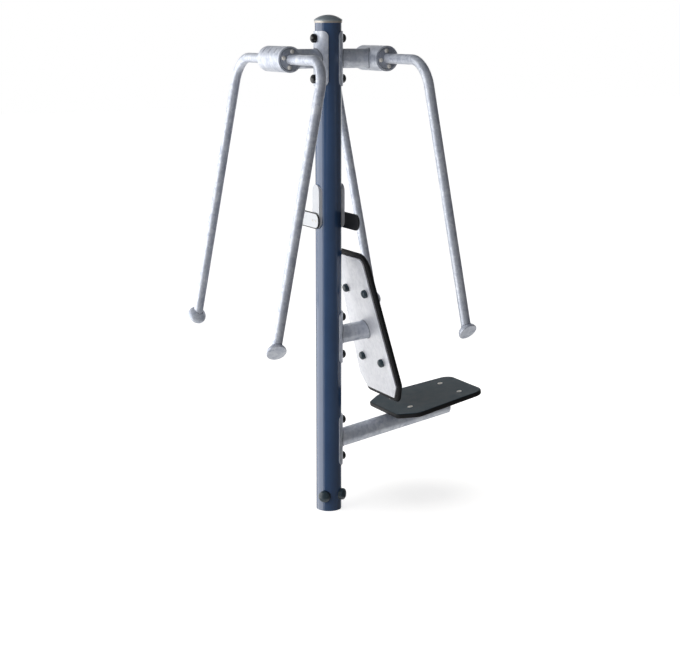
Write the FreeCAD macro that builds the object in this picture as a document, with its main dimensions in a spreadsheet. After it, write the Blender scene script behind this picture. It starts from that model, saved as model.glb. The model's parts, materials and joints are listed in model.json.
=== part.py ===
import FreeCAD, Part
import Sketcher
import math
import os
import re

# Outdoor double chest press: one post, two pairs of swinging press arms, one seat with a back rest.
# Frame: millimetres, +Z up, origin at the centre of the post's foot on the ground. The station with
# the seat looks along +X, the open station looks along -X. Each station's pieces are drawn on the +X
# side, and the open station is the same set turned half a turn about Z.

doc = FreeCAD.newDocument("double_chest_press")
sheet = doc.addObject("Spreadsheet::Sheet", "sizes")

SIZES = {
    # post and its cap
    "post_diameter": 114.3,
    "post_wall": 5.0,
    "post_height": 2155.0,
    "ring_diameter": 120.0,
    "ring_height": 9.0,
    "cap_diameter": 121.0,
    "cap_rim_height": 4.0,
    "cap_dome_height": 21.0,
    "cap_spigot_length": 40.0,
    "cap_wall": 4.0,
    "slip_gap": 0.15,
    # foot
    "sleeve_wall": 6.0,
    "sleeve_height": 140.0,
    "foot_bolt_height": 70.0,
    "foot_cap_diameter": 53.0,
    "foot_cap_height": 24.0,
    "foot_cap_dome": 14.0,
    # bracket fasteners
    "bolt_diameter": 12.0,
    "bolt_hole_diameter": 13.0,
    "bolt_across_flats": 19.0,
    "bolt_head_height": 8.0,
    "nut_height": 11.0,
    "bolt_overhang": 2.0,
    "bolt_cap_diameter": 38.0,
    "bolt_cap_height": 20.0,
    "bolt_cap_dome": 12.0,
    "bolt_cap_bore": 24.0,
    "bolt_cap_depth": 14.0,
    "cap_skirt": 8.0,
    # saddle plates
    "saddle_thickness": 6.0,
    "saddle_half_angle": 64.3,
    "saddle_height": 230.0,
    "saddle_corner_radius": 24.0,
    "saddle_bolt_spacing": 170.0,
    "bracket_tube_diameter": 82.5,
    "bracket_tube_wall": 4.0,
    # arm bearing
    "pivot_drop": 149.0,
    "pivot_reach": 228.5,
    "housing_diameter": 108.0,
    "housing_wall": 8.0,
    "housing_length": 212.0,
    "slot_width": 5.0,
    "slot_length": 24.0,
    "slot_spacing": 58.0,
    "slot_shift": 12.0,
    "slot_angle": 42.0,
    "bush_length": 30.0,
    "bush_wall": 6.0,
    "running_clearance": 0.05,
    "end_clearance": 0.3,
    "hub_core_diameter": 64.0,
    "hub_bore_diameter": 44.0,
    "hub_journal_length": 42.0,
    "hub_collar_gap": 2.0,
    "hub_collar_length": 46.0,
    # swing stop
    "swing_angle": 35.0,
    "key_thickness": 16.0,
    "key_length": 40.0,
    "key_floor_gap": 1.0,
    "buffer_thickness": 4.0,
    "stop_clearance": 0.4,
    # arms
    "arm_lean": 11.0,
    "arm_tube_diameter": 42.4,
    "arm_tube_wall": 2.9,
    "arm_span": 854.0,
    "arm_bend_radius": 105.0,
    "arm_leg_length": 1176.0,
    "flange_diameter": 88.0,
    "flange_thickness": 12.0,
    "flange_stand": 5.0,
    "flange_bolt_diameter": 10.0,
    "flange_bolt_clearance": 0.5,
    "flange_bolt_circle": 66.0,
    "flange_bolt_depth": 22.0,
    "flange_bolt_across_flats": 17.0,
    "flange_bolt_head": 6.5,
    "knob_diameter": 84.0,
    "knob_rim": 4.0,
    "knob_dome": 30.0,
    "knob_edge_radius": 3.0,
    "knob_tilt": 52.0,
    "knob_shift": 11.0,
    "arm_end_level": 12.0,
    # signs
    "carrier_bottom": 1279.0,
    "carrier_height": 193.0,
    "carrier_width": 66.0,
    "carrier_reach": 62.5,
    "carrier_corner_radius": 31.0,
    "sign_height": 1314.0,
    "sign_length": 203.0,
    "sign_width": 70.0,
    "sign_thickness": 6.0,
    "sign_corner_radius": 33.0,
    "sign_near_end": 40.0,
    "sign_screw_diameter": 6.0,
    "sign_screw_spacing": 30.0,
    "sign_screw_reach": 20.0,
    "sign_screw_head_diameter": 12.0,
    "sign_screw_head": 3.0,
    # back rest
    "back_bracket_height": 793.0,
    "back_tube_tilt": 5.3,
    "back_reach": 179.0,
    "back_centre_height": 829.0,
    "back_lean": 14.8,
    "back_plate_thickness": 6.0,
    "back_plate_length": 658.0,
    "back_plate_top_width": 256.0,
    "back_plate_low_width": 342.0,
    "back_plate_foot_width": 256.0,
    "back_plate_foot_rise": 60.0,
    "back_plate_top_radius": 36.0,
    "back_plate_low_radius": 16.0,
    "back_plate_foot_radius": 6.0,
    "back_bolt_spacing": 332.0,
    "back_bolt_gauge": 177.0,
    "pad_margin": 20.0,
    "pad_foot_margin": 25.0,
    "pad_thickness": 26.0,
    "pad_top_radius": 72.0,
    "pad_low_radius": 34.0,
    "pad_edge_radius": 9.0,
    "pad_bolt_diameter": 10.0,
    "pad_bolt_head": 7.0,
    "pad_bolt_across_flats": 17.0,
    "pad_bolt_depth": 12.0,
    "insert_diameter": 16.0,
    "insert_length": 14.0,
    # seat
    "seat_bracket_height": 322.0,
    "seat_tilt": 9.2,
    "seat_tube_length": 553.0,
    "tube_cap_thickness": 4.0,
    "tube_cap_spigot": 20.0,
    "seat_plate_start": 292.0,
    "seat_plate_length": 330.0,
    "seat_plate_width": 210.0,
    "seat_plate_thickness": 12.0,
    "seat_plate_radius": 20.0,
    "seat_thickness": 22.0,
    "seat_bolt_start": 324.0,
    "seat_bolt_spacing": 263.0,
    "seat_bolt_gauge": 172.0,
    "seat_rear_overhang": 97.0,
    "seat_front_overhang": 94.0,
    "seat_rear_width": 264.0,
    "seat_rear_taper": 80.0,
    "seat_wide_width": 388.0,
    "seat_front_width": 318.0,
    "seat_front_radius": 56.0,
    "seat_wide_radius": 60.0,
    "seat_rear_radius": 28.0,
    "seat_edge_radius": 6.5,
    "seat_bolt_diameter": 10.0,
    "seat_bolt_head_diameter": 24.0,
    "seat_bolt_head": 5.0,
    "seat_nut_height": 8.0,
    "seat_nut_across_flats": 17.0,
}

for row, (alias, value) in enumerate(SIZES.items(), start=1):
    sheet.set("A%d" % row, alias)
    sheet.set("B%d" % row, str(value))
    sheet.setAlias("B%d" % row, alias)
doc.recompute()


def size(alias):
    """A sheet value as a number, for turns, frames and fillets."""
    return float(sheet.get(alias))


def ref(text):
    """An expression for the document, with each sheet name pointing at its cell."""
    def cell(match):
        word = match.group(0)
        return "sizes." + word if word in SIZES else word

    return re.sub(r"[a-z_]+", cell, text)


def bind(obj, sizes):
    for prop, text in sizes.items():
        obj.setExpression(prop, ref(text))
    return obj


X = FreeCAD.Vector(1, 0, 0)
Y = FreeCAD.Vector(0, 1, 0)
Z = FreeCAD.Vector(0, 0, 1)
ORIGIN = ("0", "0", "0")
HALF_TURN = 180.0
QUARTER_TURN = 90.0
ANGLE_TOLERANCE = 0.01
NO_TURN = FreeCAD.Rotation()
# a turn that lays a piece's own Z axis along the named direction
ALONG = {
    "x": FreeCAD.Rotation(Y, QUARTER_TURN),
    "-x": FreeCAD.Rotation(Y, -QUARTER_TURN),
    "y": FreeCAD.Rotation(X, -QUARTER_TURN),
    "z": NO_TURN,
    "-z": FreeCAD.Rotation(X, HALF_TURN),
}


def new(kind, role):
    """A working object of the document; repeated roles get a number from the document."""
    return doc.addObject(kind, role)


def at(obj, place, turn=NO_TURN):
    """Put an object at three sheet expressions, turned about its own origin."""
    obj.Placement = FreeCAD.Placement(FreeCAD.Vector(), turn)
    return bind(obj, {"Placement.Base." + axis: text for axis, text in zip("xyz", place)})


def cylinder(radius, length, place=ORIGIN, axis="z"):
    obj = new("Part::Cylinder", "round")
    bind(obj, {"Radius": radius, "Height": length})
    return at(obj, place, ALONG[axis])


def block(dx, dy, dz, place):
    obj = new("Part::Box", "block")
    bind(obj, {"Length": dx, "Width": dy, "Height": dz})
    return at(obj, place)


def hexagon(across_flats, height, place, axis="z"):
    obj = new("Part::Prism", "hexagon")
    obj.Polygon = 6
    bind(obj, {"Circumradius": across_flats + " / sqrt(3)", "Height": height})
    return at(obj, place, ALONG[axis])


def dome(radius, height, place):
    """The upper half of an ellipsoid, standing on its flat side."""
    obj = new("Part::Ellipsoid", "dome")
    obj.Angle1 = 0
    bind(obj, {"Radius1": height, "Radius2": radius, "Radius3": radius})
    return at(obj, place)


def shallow_dome(radius, height, place):
    """A slice of a ball, standing on its flat side."""
    total = "((%s) ^ 2 + %s ^ 2)" % (radius, height)
    rest = "((%s) ^ 2 - %s ^ 2)" % (radius, height)
    x, y, z = place
    obj = new("Part::Sphere", "slice")
    bind(obj, {"Radius": "%s / (2 * %s)" % (total, height), "Angle1": "asin(%s / %s)" % (rest, total)})
    return at(obj, (x, y, "%s - %s / (2 * %s)" % (z, rest, height)))


def fuse(*pieces):
    obj = new("Part::MultiFuse", "fuse")
    obj.Shapes = list(pieces)
    obj.Refine = True
    return obj


def cut(base, *tools):
    obj = new("Part::Cut", "cut")
    obj.Base = base
    obj.Tool = tools[0] if len(tools) == 1 else fuse(*tools)
    return obj


def common(first, second):
    obj = new("Part::Common", "common")
    obj.Base = first
    obj.Tool = second
    return obj


def group(pieces):
    obj = new("Part::Compound", "set")
    obj.Links = list(pieces)
    return obj


def tube(outer_radius, wall, length, place, axis):
    inner = cylinder(outer_radius + " - " + wall, length, place, axis)
    return cut(cylinder(outer_radius, length, place, axis), inner)


def frame(x=0.0, y=0.0, z=0.0, turn=NO_TURN):
    return FreeCAD.Placement(FreeCAD.Vector(x, y, z), turn)


def moved(obj, place):
    """Move a piece; one whose place is bound to the sheet is carried in a set."""
    if any("Placement" in path for path, text in obj.ExpressionEngine):
        obj = group([obj])
    obj.Placement = place * obj.Placement
    return obj


def turned(obj, angle):
    """Turn a piece about the post's axis."""
    return moved(obj, frame(turn=FreeCAD.Rotation(Z, angle)))


def rounded(base, radius, wanted):
    """Round the edges of a piece for which wanted(edge) is true."""
    doc.recompute()
    obj = new("Part::Fillet", "rounded")
    obj.Base = base
    numbers = [i for i, edge in enumerate(base.Shape.Edges, start=1) if wanted(edge)]
    obj.Edges = [(i, size(radius), size(radius)) for i in numbers]
    return obj


def is_line_along(edge, direction):
    line = edge.Curve
    return line.TypeId == "Part::GeomLine" and line.Direction.isParallel(direction, ANGLE_TOLERANCE)


def straight_along(direction):
    return lambda edge: is_line_along(edge, direction)


def is_circle(edge):
    return edge.Curve.TypeId == "Part::GeomCircle"


def is_radial(edge):
    """True for the straight edges of a rolled plate that do not run along the post."""
    return edge.Curve.TypeId == "Part::GeomLine" and not is_line_along(edge, Z)


def plate(corners, start, thickness):
    """A flat plate: a sketch with each corner bound to the sheet, padded along the body's own Z."""
    body = new("PartDesign::Body", "plate")
    plane = [item for item in body.Origin.OriginFeatures if item.Role == "XY_Plane"][0]
    sketch = body.newObject("Sketcher::SketchObject", "outline")
    sketch.AttachmentSupport = (plane, [""])
    sketch.MapMode = "FlatFace"
    bind(sketch, {"AttachmentOffset.Base.z": start})
    number = len(corners)
    # the sketch starts as a regular polygon and its corners then follow the sheet
    first_radius = 100.0
    turns = [2 * math.pi * i / number for i in range(number)]
    spots = [FreeCAD.Vector(first_radius * math.cos(t), first_radius * math.sin(t), 0) for t in turns]
    for i, spot in enumerate(spots):
        sketch.addGeometry(Part.LineSegment(spot, spots[(i + 1) % number]), False)
    for i in range(number):
        sketch.addConstraint(Sketcher.Constraint("Coincident", i, 2, (i + 1) % number, 1))
    for i, (across, along) in enumerate(corners):
        for kind, text, value in (("DistanceX", across, spots[i].x), ("DistanceY", along, spots[i].y)):
            index = sketch.addConstraint(Sketcher.Constraint(kind, -1, 1, i, 1, value))
            sketch.setExpression("Constraints[%d]" % index, ref(text))
    pad = body.newObject("PartDesign::Pad", "pad")
    pad.Profile = sketch
    bind(pad, {"Length": thickness})
    doc.recompute()
    return body


def dress(body, radius, wanted):
    """Round the edges of a plate's last feature for which wanted(edge) is true."""
    base = body.Tip
    names = ["Edge%d" % i for i, edge in enumerate(base.Shape.Edges, start=1) if wanted(edge)]
    fillet = body.newObject("PartDesign::Fillet", "round")
    fillet.Base = (base, names)
    bind(fillet, {"Radius": radius})
    doc.recompute()
    return body


def mirrored(corners):
    """Complete a list of corners on the +across side with its mirror image."""
    return corners + [("0 - (%s)" % across, along) for across, along in reversed(corners)]


def upright_within(low=-math.inf, high=math.inf):
    return lambda edge: is_line_along(edge, Z) and low < edge.CenterOfMass.y < high


def not_upright(edge):
    return not is_line_along(edge, Z)


# radii and heights that several pieces share
POST = "post_diameter / 2"
POST_BORE = "(post_diameter / 2 - post_wall)"
SADDLE_FACE = "(post_diameter / 2 + saddle_thickness)"
TUBE = "bracket_tube_diameter / 2"
BOLT = "bolt_diameter / 2"
BOLT_HOLE = "bolt_hole_diameter / 2"
PIVOT_HEIGHT = "(post_height - pivot_drop)"
HOUSING = "housing_diameter / 2"
HOUSING_BORE = "(housing_diameter / 2 - housing_wall)"

# frames that the pieces are drawn in
STATIONS = {"seat_side": 0.0, "open_side": HALF_TURN}
pivot_frame = frame(size("pivot_reach"), 0, size("post_height") - size("pivot_drop"))
press_frame = pivot_frame * frame(turn=FreeCAD.Rotation(Y, -size("arm_lean")))
back_turn = FreeCAD.Rotation(Y, -size("back_lean")) * FreeCAD.Rotation(Y, Z, X, "ZXY")
back_frame = frame(size("back_reach"), 0, size("back_centre_height"), back_turn)
back_tube_turn = FreeCAD.Rotation(Y, -size("back_tube_tilt"))
back_tube_frame = frame(0, 0, size("back_bracket_height"), back_tube_turn)
saddle_face = size("post_diameter") / 2 + size("saddle_thickness")
seat_turn = FreeCAD.Rotation(Y, -size("seat_tilt"))
seat_frame = frame(saddle_face, 0, size("seat_bracket_height"), seat_turn)

nodes = []


def node(label, obj, place=frame(), station="seat_side"):
    """Name a finished sub-part and move it from its drawing frame into the object's frame."""
    obj = turned(moved(obj, place), STATIONS[station])
    obj.Label = label
    nodes.append(obj)


# heights of the bracket bolts
def bolt_pair(height):
    return [height + sign + "saddle_bolt_spacing / 2" for sign in (" + ", " - ")]


TOP_BOLTS = bolt_pair(PIVOT_HEIGHT)
LOWER_BOLTS = bolt_pair("back_bracket_height") + bolt_pair("seat_bracket_height")
FOOT_ANGLES = (90.0, 225.0, 315.0)
SIGN_SCREWS = ("sign_screw_spacing / 2", "0 - sign_screw_spacing / 2")


def radial_hole(radius, height, across="0"):
    """A round tool from the post's axis out through its +X wall."""
    return cylinder(radius, "post_diameter", ("0", across, height), "x")


def foot_holes(radius):
    return [turned(radial_hole(radius, "foot_bolt_height"), angle) for angle in FOOT_ANGLES]


def sign_holes(angle):
    screw = "sign_screw_diameter / 2"
    return [turned(radial_hole(screw, "sign_height", across), angle) for across in SIGN_SCREWS]


# post, cap and foot
def make_post():
    holes = [radial_hole(BOLT_HOLE, height) for height in TOP_BOLTS + LOWER_BOLTS]
    holes += [turned(radial_hole(BOLT_HOLE, height), HALF_TURN) for height in TOP_BOLTS]
    holes += foot_holes(BOLT_HOLE) + sign_holes(0.0) + sign_holes(HALF_TURN)
    node("post", cut(cylinder(POST, "post_height"), cylinder(POST_BORE, "post_height"), *holes))


def make_post_cap():
    rim = "post_height"
    ring_top = "post_height + ring_height"
    ring = cylinder("ring_diameter / 2", "ring_height", ("0", "0", rim))
    node("cap_ring", cut(ring, cylinder(POST_BORE, "ring_height", ("0", "0", rim))))
    radius = "cap_diameter / 2"
    spigot = POST_BORE + " - slip_gap"
    foot = ("0", "0", ring_top + " - cap_spigot_length")
    solid = fuse(
        cylinder(radius, "cap_rim_height", ("0", "0", ring_top)),
        shallow_dome(radius, "cap_dome_height", ("0", "0", ring_top + " + cap_rim_height")),
        cylinder(spigot, "cap_spigot_length", foot),
    )
    node("post_cap", cut(solid, cylinder(spigot + " - cap_wall", "cap_spigot_length", foot)))


def bolt(seat, length, height):
    """A hex bolt along X whose head stands on seat and whose shank points at the post's axis."""
    shank = cylinder(BOLT, length, ("%s - (%s)" % (seat, length), "0", height), "x")
    head = hexagon("bolt_across_flats", "bolt_head_height", (seat, "0", height), "x")
    return fuse(shank, head)


def nut(face, height):
    """A hex nut along X whose outer face is at face."""
    place = (face + " - nut_height", "0", height)
    body = hexagon("bolt_across_flats", "nut_height", place, "x")
    return cut(body, cylinder(BOLT, "nut_height", place, "x"))


def dome_cap(diameter, height, top, skirt="0"):
    """A hollow cap that stands on its own XY plane; the skirt below it is trimmed to a round seat."""
    radius = diameter + " / 2"
    low = ("0", "0", "0 - " + skirt)
    wall = cylinder(radius, "%s - %s + %s" % (height, top, skirt), low)
    shell = fuse(wall, dome(radius, top, ("0", "0", "%s - %s" % (height, top))))
    return cut(shell, cylinder("bolt_cap_bore / 2", "bolt_cap_depth + " + skirt, low))


def round_cap(kind, seat, seat_value, height, angle):
    """A dome cap on the round face of radius seat, at a height given as a sheet expression."""
    cap = dome_cap(kind + "_diameter", kind + "_height", kind + "_dome", "cap_skirt")
    standing = moved(cap, frame(seat_value, 0, 0, ALONG["x"]))
    length = kind + "_diameter * 2"
    trimmed = cut(standing, cylinder(seat, length, ("0", "0", "0 - %s_diameter" % kind)))
    lift = at(group([trimmed]), ("0", "0", height))
    return turned(lift, angle)


def make_foot():
    sleeve = tube(POST_BORE, "sleeve_wall", "sleeve_height", ORIGIN, "z")
    node("foot_sleeve", cut(sleeve, *foot_holes(BOLT)))
    length = "post_wall + sleeve_wall"
    bolts = [turned(bolt(POST, length, "foot_bolt_height"), angle) for angle in FOOT_ANGLES]
    node("foot_bolts", group(bolts))
    seat = size("post_diameter") / 2
    caps = [round_cap("foot_cap", POST, seat, "foot_bolt_height", angle) for angle in FOOT_ANGLES]
    node("foot_bolt_caps", group(caps))


# brackets
def saddle(height):
    """A plate rolled to the post, with square ends, rounded corners and two bolt holes."""
    low = ("0", "0", height + " - saddle_height / 2")
    sector = new("Part::Cylinder", "sector")
    bind(sector, {"Radius": SADDLE_FACE, "Height": "saddle_height", "Angle": "2 * saddle_half_angle"})
    at(sector, low, FreeCAD.Rotation(Z, -size("saddle_half_angle")))
    rolled = cut(sector, cylinder(POST, "saddle_height", low))
    shape = rounded(rolled, "saddle_corner_radius", is_radial)
    return cut(shape, *[cylinder(BOLT_HOLE, SADDLE_FACE, ("0", "0", z), "x") for z in bolt_pair(height)])


def saddle_cylinder(height):
    """A tool that fits a bracket's tube to the outer face of its saddle."""
    return cylinder(SADDLE_FACE, "saddle_height * 2", ("0", "0", height + " - saddle_height"))


def make_top_fasteners():
    far_face = "%s + nut_height + bolt_overhang" % SADDLE_FACE
    length = "%s + %s" % (SADDLE_FACE, far_face)
    node("top_through_bolts", group([bolt(SADDLE_FACE, length, z) for z in TOP_BOLTS]))
    nuts = [nut("0 - " + SADDLE_FACE, z) for z in TOP_BOLTS]
    node("top_bolt_nuts", group(nuts))
    caps = [round_cap("bolt_cap", SADDLE_FACE, saddle_face, z, angle)
            for z in TOP_BOLTS for angle in STATIONS.values()]
    node("top_bolt_caps", group(caps))


def make_lower_fasteners():
    nut_face = "sqrt(%s ^ 2 - (bolt_across_flats / 2) ^ 2)" % POST_BORE
    length = "%s - %s + nut_height + bolt_overhang" % (SADDLE_FACE, nut_face)
    node("lower_bracket_bolts", group([bolt(SADDLE_FACE, length, z) for z in LOWER_BOLTS]))
    node("lower_bracket_nuts", group([nut(nut_face, z) for z in LOWER_BOLTS]))
    caps = [round_cap("bolt_cap", SADDLE_FACE, saddle_face, z, 0.0) for z in LOWER_BOLTS]
    node("lower_bolt_caps", group(caps))


# arm bearing of one station, drawn on the +X side
PIVOT_ENDS = ("0", "0 - housing_length / 2", "0")
KEY_FACE = "(hub_core_diameter / 2 + 2 * key_floor_gap)"
WINDOW_FLOOR = "(hub_core_diameter / 2 + key_floor_gap)"
HUB_HALF = "(housing_length / 2 + flange_stand - flange_thickness)"
FLANGE_FACE = "(housing_length / 2 + flange_stand)"


def make_top_bracket(station):
    node(station + "_saddle", saddle(PIVOT_HEIGHT), station=station)
    axis_start = ("0", "0", PIVOT_HEIGHT)
    barrel = cylinder(HOUSING, "housing_length", ("pivot_reach", PIVOT_ENDS[1], PIVOT_HEIGHT), "y")
    hollow = cylinder(TUBE + " - bracket_tube_wall", "pivot_reach", axis_start, "x")
    solid = cylinder(TUBE, "pivot_reach", axis_start, "x")
    stub = cut(solid, hollow, saddle_cylinder(PIVOT_HEIGHT), barrel)
    node(station + "_stub_tube", stub, station=station)


def make_housing(station):
    shell = tube(HOUSING, "housing_wall", "housing_length", PIVOT_ENDS, "y")
    slot_turn = frame(turn=FreeCAD.Rotation(Y, -size("slot_angle")))
    slots = []
    for step in ("0 - slot_spacing", "0", "slot_spacing"):
        across = step + " - slot_shift - slot_width / 2"
        place = (HOUSING_BORE + " - housing_wall", across, "0 - slot_length / 2")
        slots.append(moved(block("housing_wall * 3", "slot_width", "slot_length", place), slot_turn))
    key_hole = cylinder(BOLT, HOUSING, ORIGIN, "-x")
    node(station + "_housing", cut(shell, key_hole, *slots), pivot_frame, station)
    bush_place = ("0", HUB_HALF + " - end_clearance - bush_length", "0")
    bush = tube(HOUSING_BORE, "bush_wall", "bush_length", bush_place, "y")
    bushes = group([bush, turned(group([bush]), HALF_TURN)])
    node(station + "_bushes", bushes, pivot_frame, station)


def make_stop(station):
    """A key bolted into the housing, with a rubber buffer on each side."""
    depth = HOUSING_BORE + " - " + KEY_FACE
    half = "0 - key_length / 2"

    def trimmed(thickness, low):
        slab = block(depth, "key_length", thickness, ("0 - " + HOUSING_BORE, half, low))
        return common(slab, cylinder(HOUSING_BORE, "key_length", ("0", half, "0"), "y"))

    shank_length = "%s + nut_height + bolt_overhang - %s" % (HOUSING, KEY_FACE)
    shank = cylinder(BOLT, shank_length, ("0 - " + KEY_FACE, "0", "0"), "-x")
    key = fuse(trimmed("key_thickness", "0 - key_thickness / 2"), shank)
    node(station + "_stop_key", key, pivot_frame, station)
    upper = trimmed("buffer_thickness", "key_thickness / 2")
    lower = trimmed("buffer_thickness", "0 - key_thickness / 2 - buffer_thickness")
    node(station + "_stop_buffers", group([upper, lower]), pivot_frame, station)
    node(station + "_stop_nut", nut("0 - " + HOUSING, "0"), pivot_frame, station)


def four_round(make):
    """Four copies of a piece about the pivot axis, lined up with the arm."""
    reach = "flange_bolt_circle / 2"
    spots = ((reach, "0"), ("0", reach), ("0 - " + reach, "0"), ("0", "0 - " + reach))
    return [make(x, z) for x, z in spots]


def both_ends(pieces):
    return pieces + [turned(group([piece]), HALF_TURN) for piece in pieces]


def make_hub(station):
    """The drum that joins both arms: two journals, a core and a collar with the stop's window."""
    journal = HOUSING_BORE + " - bush_wall - running_clearance"
    collar_half = "0 - hub_collar_length / 2"
    collar = cylinder(HOUSING_BORE + " - hub_collar_gap", "hub_collar_length", ("0", collar_half, "0"), "y")
    journals = both_ends([cylinder(journal, "hub_journal_length",
                                   ("0", HUB_HALF + " - hub_journal_length", "0"), "y")])
    full = "2 * " + HUB_HALF
    low = ("0", "0 - " + HUB_HALF, "0")
    solid = fuse(cylinder("hub_core_diameter / 2", full, low, "y"), collar, *journals)
    half_window = "(key_thickness / 2 + buffer_thickness + stop_clearance)"
    place = ("0 - %s - %s" % (WINDOW_FLOOR, HOUSING_BORE), collar_half, "0 - " + half_window)
    lean = size("arm_lean")
    ends = []
    for angle in (lean, lean + size("swing_angle")):
        side = block(HOUSING_BORE, "hub_collar_length", "2 * " + half_window, place)
        ends.append(moved(side, frame(turn=FreeCAD.Rotation(Y, angle))))
    sweep = new("Part::Cylinder", "sweep")
    bind(sweep, {"Radius": HOUSING, "Height": "hub_collar_length", "Angle": "swing_angle"})
    at(sweep, ("0", "0", collar_half))
    wedge = cut(sweep, cylinder(WINDOW_FLOOR, "hub_collar_length", ("0", "0", collar_half)))
    wedge = moved(wedge, frame(turn=FreeCAD.Rotation(Y, HALF_TURN + lean) * ALONG["y"]))
    thread = ("flange_bolt_diameter / 2", "flange_bolt_depth + flange_bolt_clearance")
    start = HUB_HALF + " - flange_bolt_depth - flange_bolt_clearance"
    holes = both_ends(four_round(lambda x, z: cylinder(*thread, (x, start, z), "y")))
    bore = cylinder("hub_bore_diameter / 2", full, low, "y")
    node(station + "_hub", cut(solid, bore, wedge, *ends, *holes), press_frame, station)


def make_flanges(station):
    disc = cylinder("flange_diameter / 2", "flange_thickness", ("0", HUB_HALF, "0"), "y")
    radius = "flange_bolt_diameter / 2 + flange_bolt_clearance"
    holes = four_round(lambda x, z: cylinder(radius, "flange_thickness", (x, HUB_HALF, z), "y"))
    node(station + "_arm_flanges", group(both_ends([cut(disc, *holes)])), press_frame, station)

    def screw(x, z):
        start = (x, HUB_HALF + " - flange_bolt_depth", z)
        shank = cylinder("flange_bolt_diameter / 2", "flange_bolt_depth + flange_thickness", start, "y")
        head = hexagon("flange_bolt_across_flats", "flange_bolt_head", (x, FLANGE_FACE, z), "y")
        return fuse(shank, head)

    node(station + "_flange_bolts", group(both_ends(four_round(screw))), press_frame, station)


def bent_bar(radius):
    """The arm's path: out along the pivot axis, round the bend and down past the knob's face."""
    reach = "arm_span / 2 - arm_bend_radius"
    top = cylinder(radius, reach + " - " + FLANGE_FACE, ("0", FLANGE_FACE, "0"), "y")
    bend = new("Part::Torus", "bend")
    bend.Angle3 = QUARTER_TURN
    bind(bend, {"Radius1": "arm_bend_radius", "Radius2": radius})
    at(bend, ("0", reach, "0 - arm_bend_radius"), FreeCAD.Rotation(Y, Z, X, "ZXY"))
    leg_length = "arm_leg_length - arm_bend_radius + arm_tube_diameter"
    leg = cylinder(radius, leg_length, ("0", "arm_span / 2", "0 - arm_bend_radius"), "-z")
    return fuse(top, bend, leg)


def turned_press(obj, angle):
    """Turn an arm's piece about the upright through the pivot, before the press is leaned."""
    return turned(group([obj]), angle)


def knob_head():
    """A mushroom head whose flat face lies on its own XY plane, with the dome above."""
    radius = "knob_diameter / 2"
    half_rim = size("knob_rim") / 2
    face = cylinder(radius, "knob_rim")
    face = rounded(face, "knob_edge_radius", lambda edge: is_circle(edge) and edge.CenterOfMass.z < half_rim)
    return fuse(face, dome(radius, "knob_dome", ("0", "0", "knob_rim")))


def make_arm(station, end, angle):
    knob_turn = FreeCAD.Rotation(X, size("knob_tilt"))
    knob_frame = frame(0, size("arm_span") / 2 + size("knob_shift"), -size("arm_leg_length"), knob_turn)
    knob = moved(knob_head(), knob_frame)
    radius = "arm_tube_diameter / 2"
    bar = cut(bent_bar(radius), bent_bar(radius + " - arm_tube_wall"))
    span = "knob_diameter * 2"
    beyond = block(span, span, span, ("0 - knob_diameter", "0 - knob_diameter", "arm_end_level - " + span))
    arm = cut(bar, moved(beyond, knob_frame), knob)
    node("%s_%s_arm" % (station, end), turned_press(arm, angle), press_frame, station)
    node("%s_%s_knob" % (station, end), turned_press(knob, angle), press_frame, station)


# signs
def make_sign(station):
    carrier_place = ("0", "0 - carrier_width / 2", "carrier_bottom")
    carrier = block("carrier_reach", "carrier_width", "carrier_height", carrier_place)
    carrier = rounded(carrier, "carrier_corner_radius", straight_along(X))
    carrier = cut(carrier, cylinder(POST, "post_height"), *sign_holes(0.0))
    node(station + "_sign_carrier", carrier, station=station)
    board_place = ("carrier_reach", "sign_near_end - sign_length", "sign_height - sign_width / 2")
    board = block("sign_thickness", "sign_length", "sign_width", board_place)
    board = rounded(board, "sign_corner_radius", straight_along(X))
    node(station + "_sign_plate", cut(board, *sign_holes(0.0)), station=station)


def make_sign_screws():
    face = "carrier_reach + sign_thickness"
    screws = []
    for angle in STATIONS.values():
        for across in SIGN_SCREWS:
            start = (face + " - sign_screw_reach", across, "sign_height")
            shank = cylinder("sign_screw_diameter / 2", "sign_screw_reach", start, "x")
            head_place = (face, across, "sign_height")
            head = cylinder("sign_screw_head_diameter / 2", "sign_screw_head", head_place, "x")
            screws.append(turned(fuse(shank, head), angle))
    node("sign_screws", group(screws))


# back rest, drawn with x across, y up the plate and z out of its front
BACK_SPOTS = [
    ("back_bolt_gauge / 2", "back_bolt_spacing / 2"),
    ("0 - back_bolt_gauge / 2", "back_bolt_spacing / 2"),
    ("back_bolt_gauge / 2", "0 - back_bolt_spacing / 2"),
    ("0 - back_bolt_gauge / 2", "0 - back_bolt_spacing / 2"),
]


def back_outline(margin, foot_margin):
    half = "back_plate_length / 2"
    corners = [
        ("back_plate_top_width / 2 + " + margin, half + " + " + margin),
        ("back_plate_low_width / 2 + " + margin, "back_plate_foot_rise - " + half),
        ("back_plate_foot_width / 2 + %s / 2" % margin, "0 - (%s + %s)" % (half, foot_margin)),
    ]
    return mirrored(corners)


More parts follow.
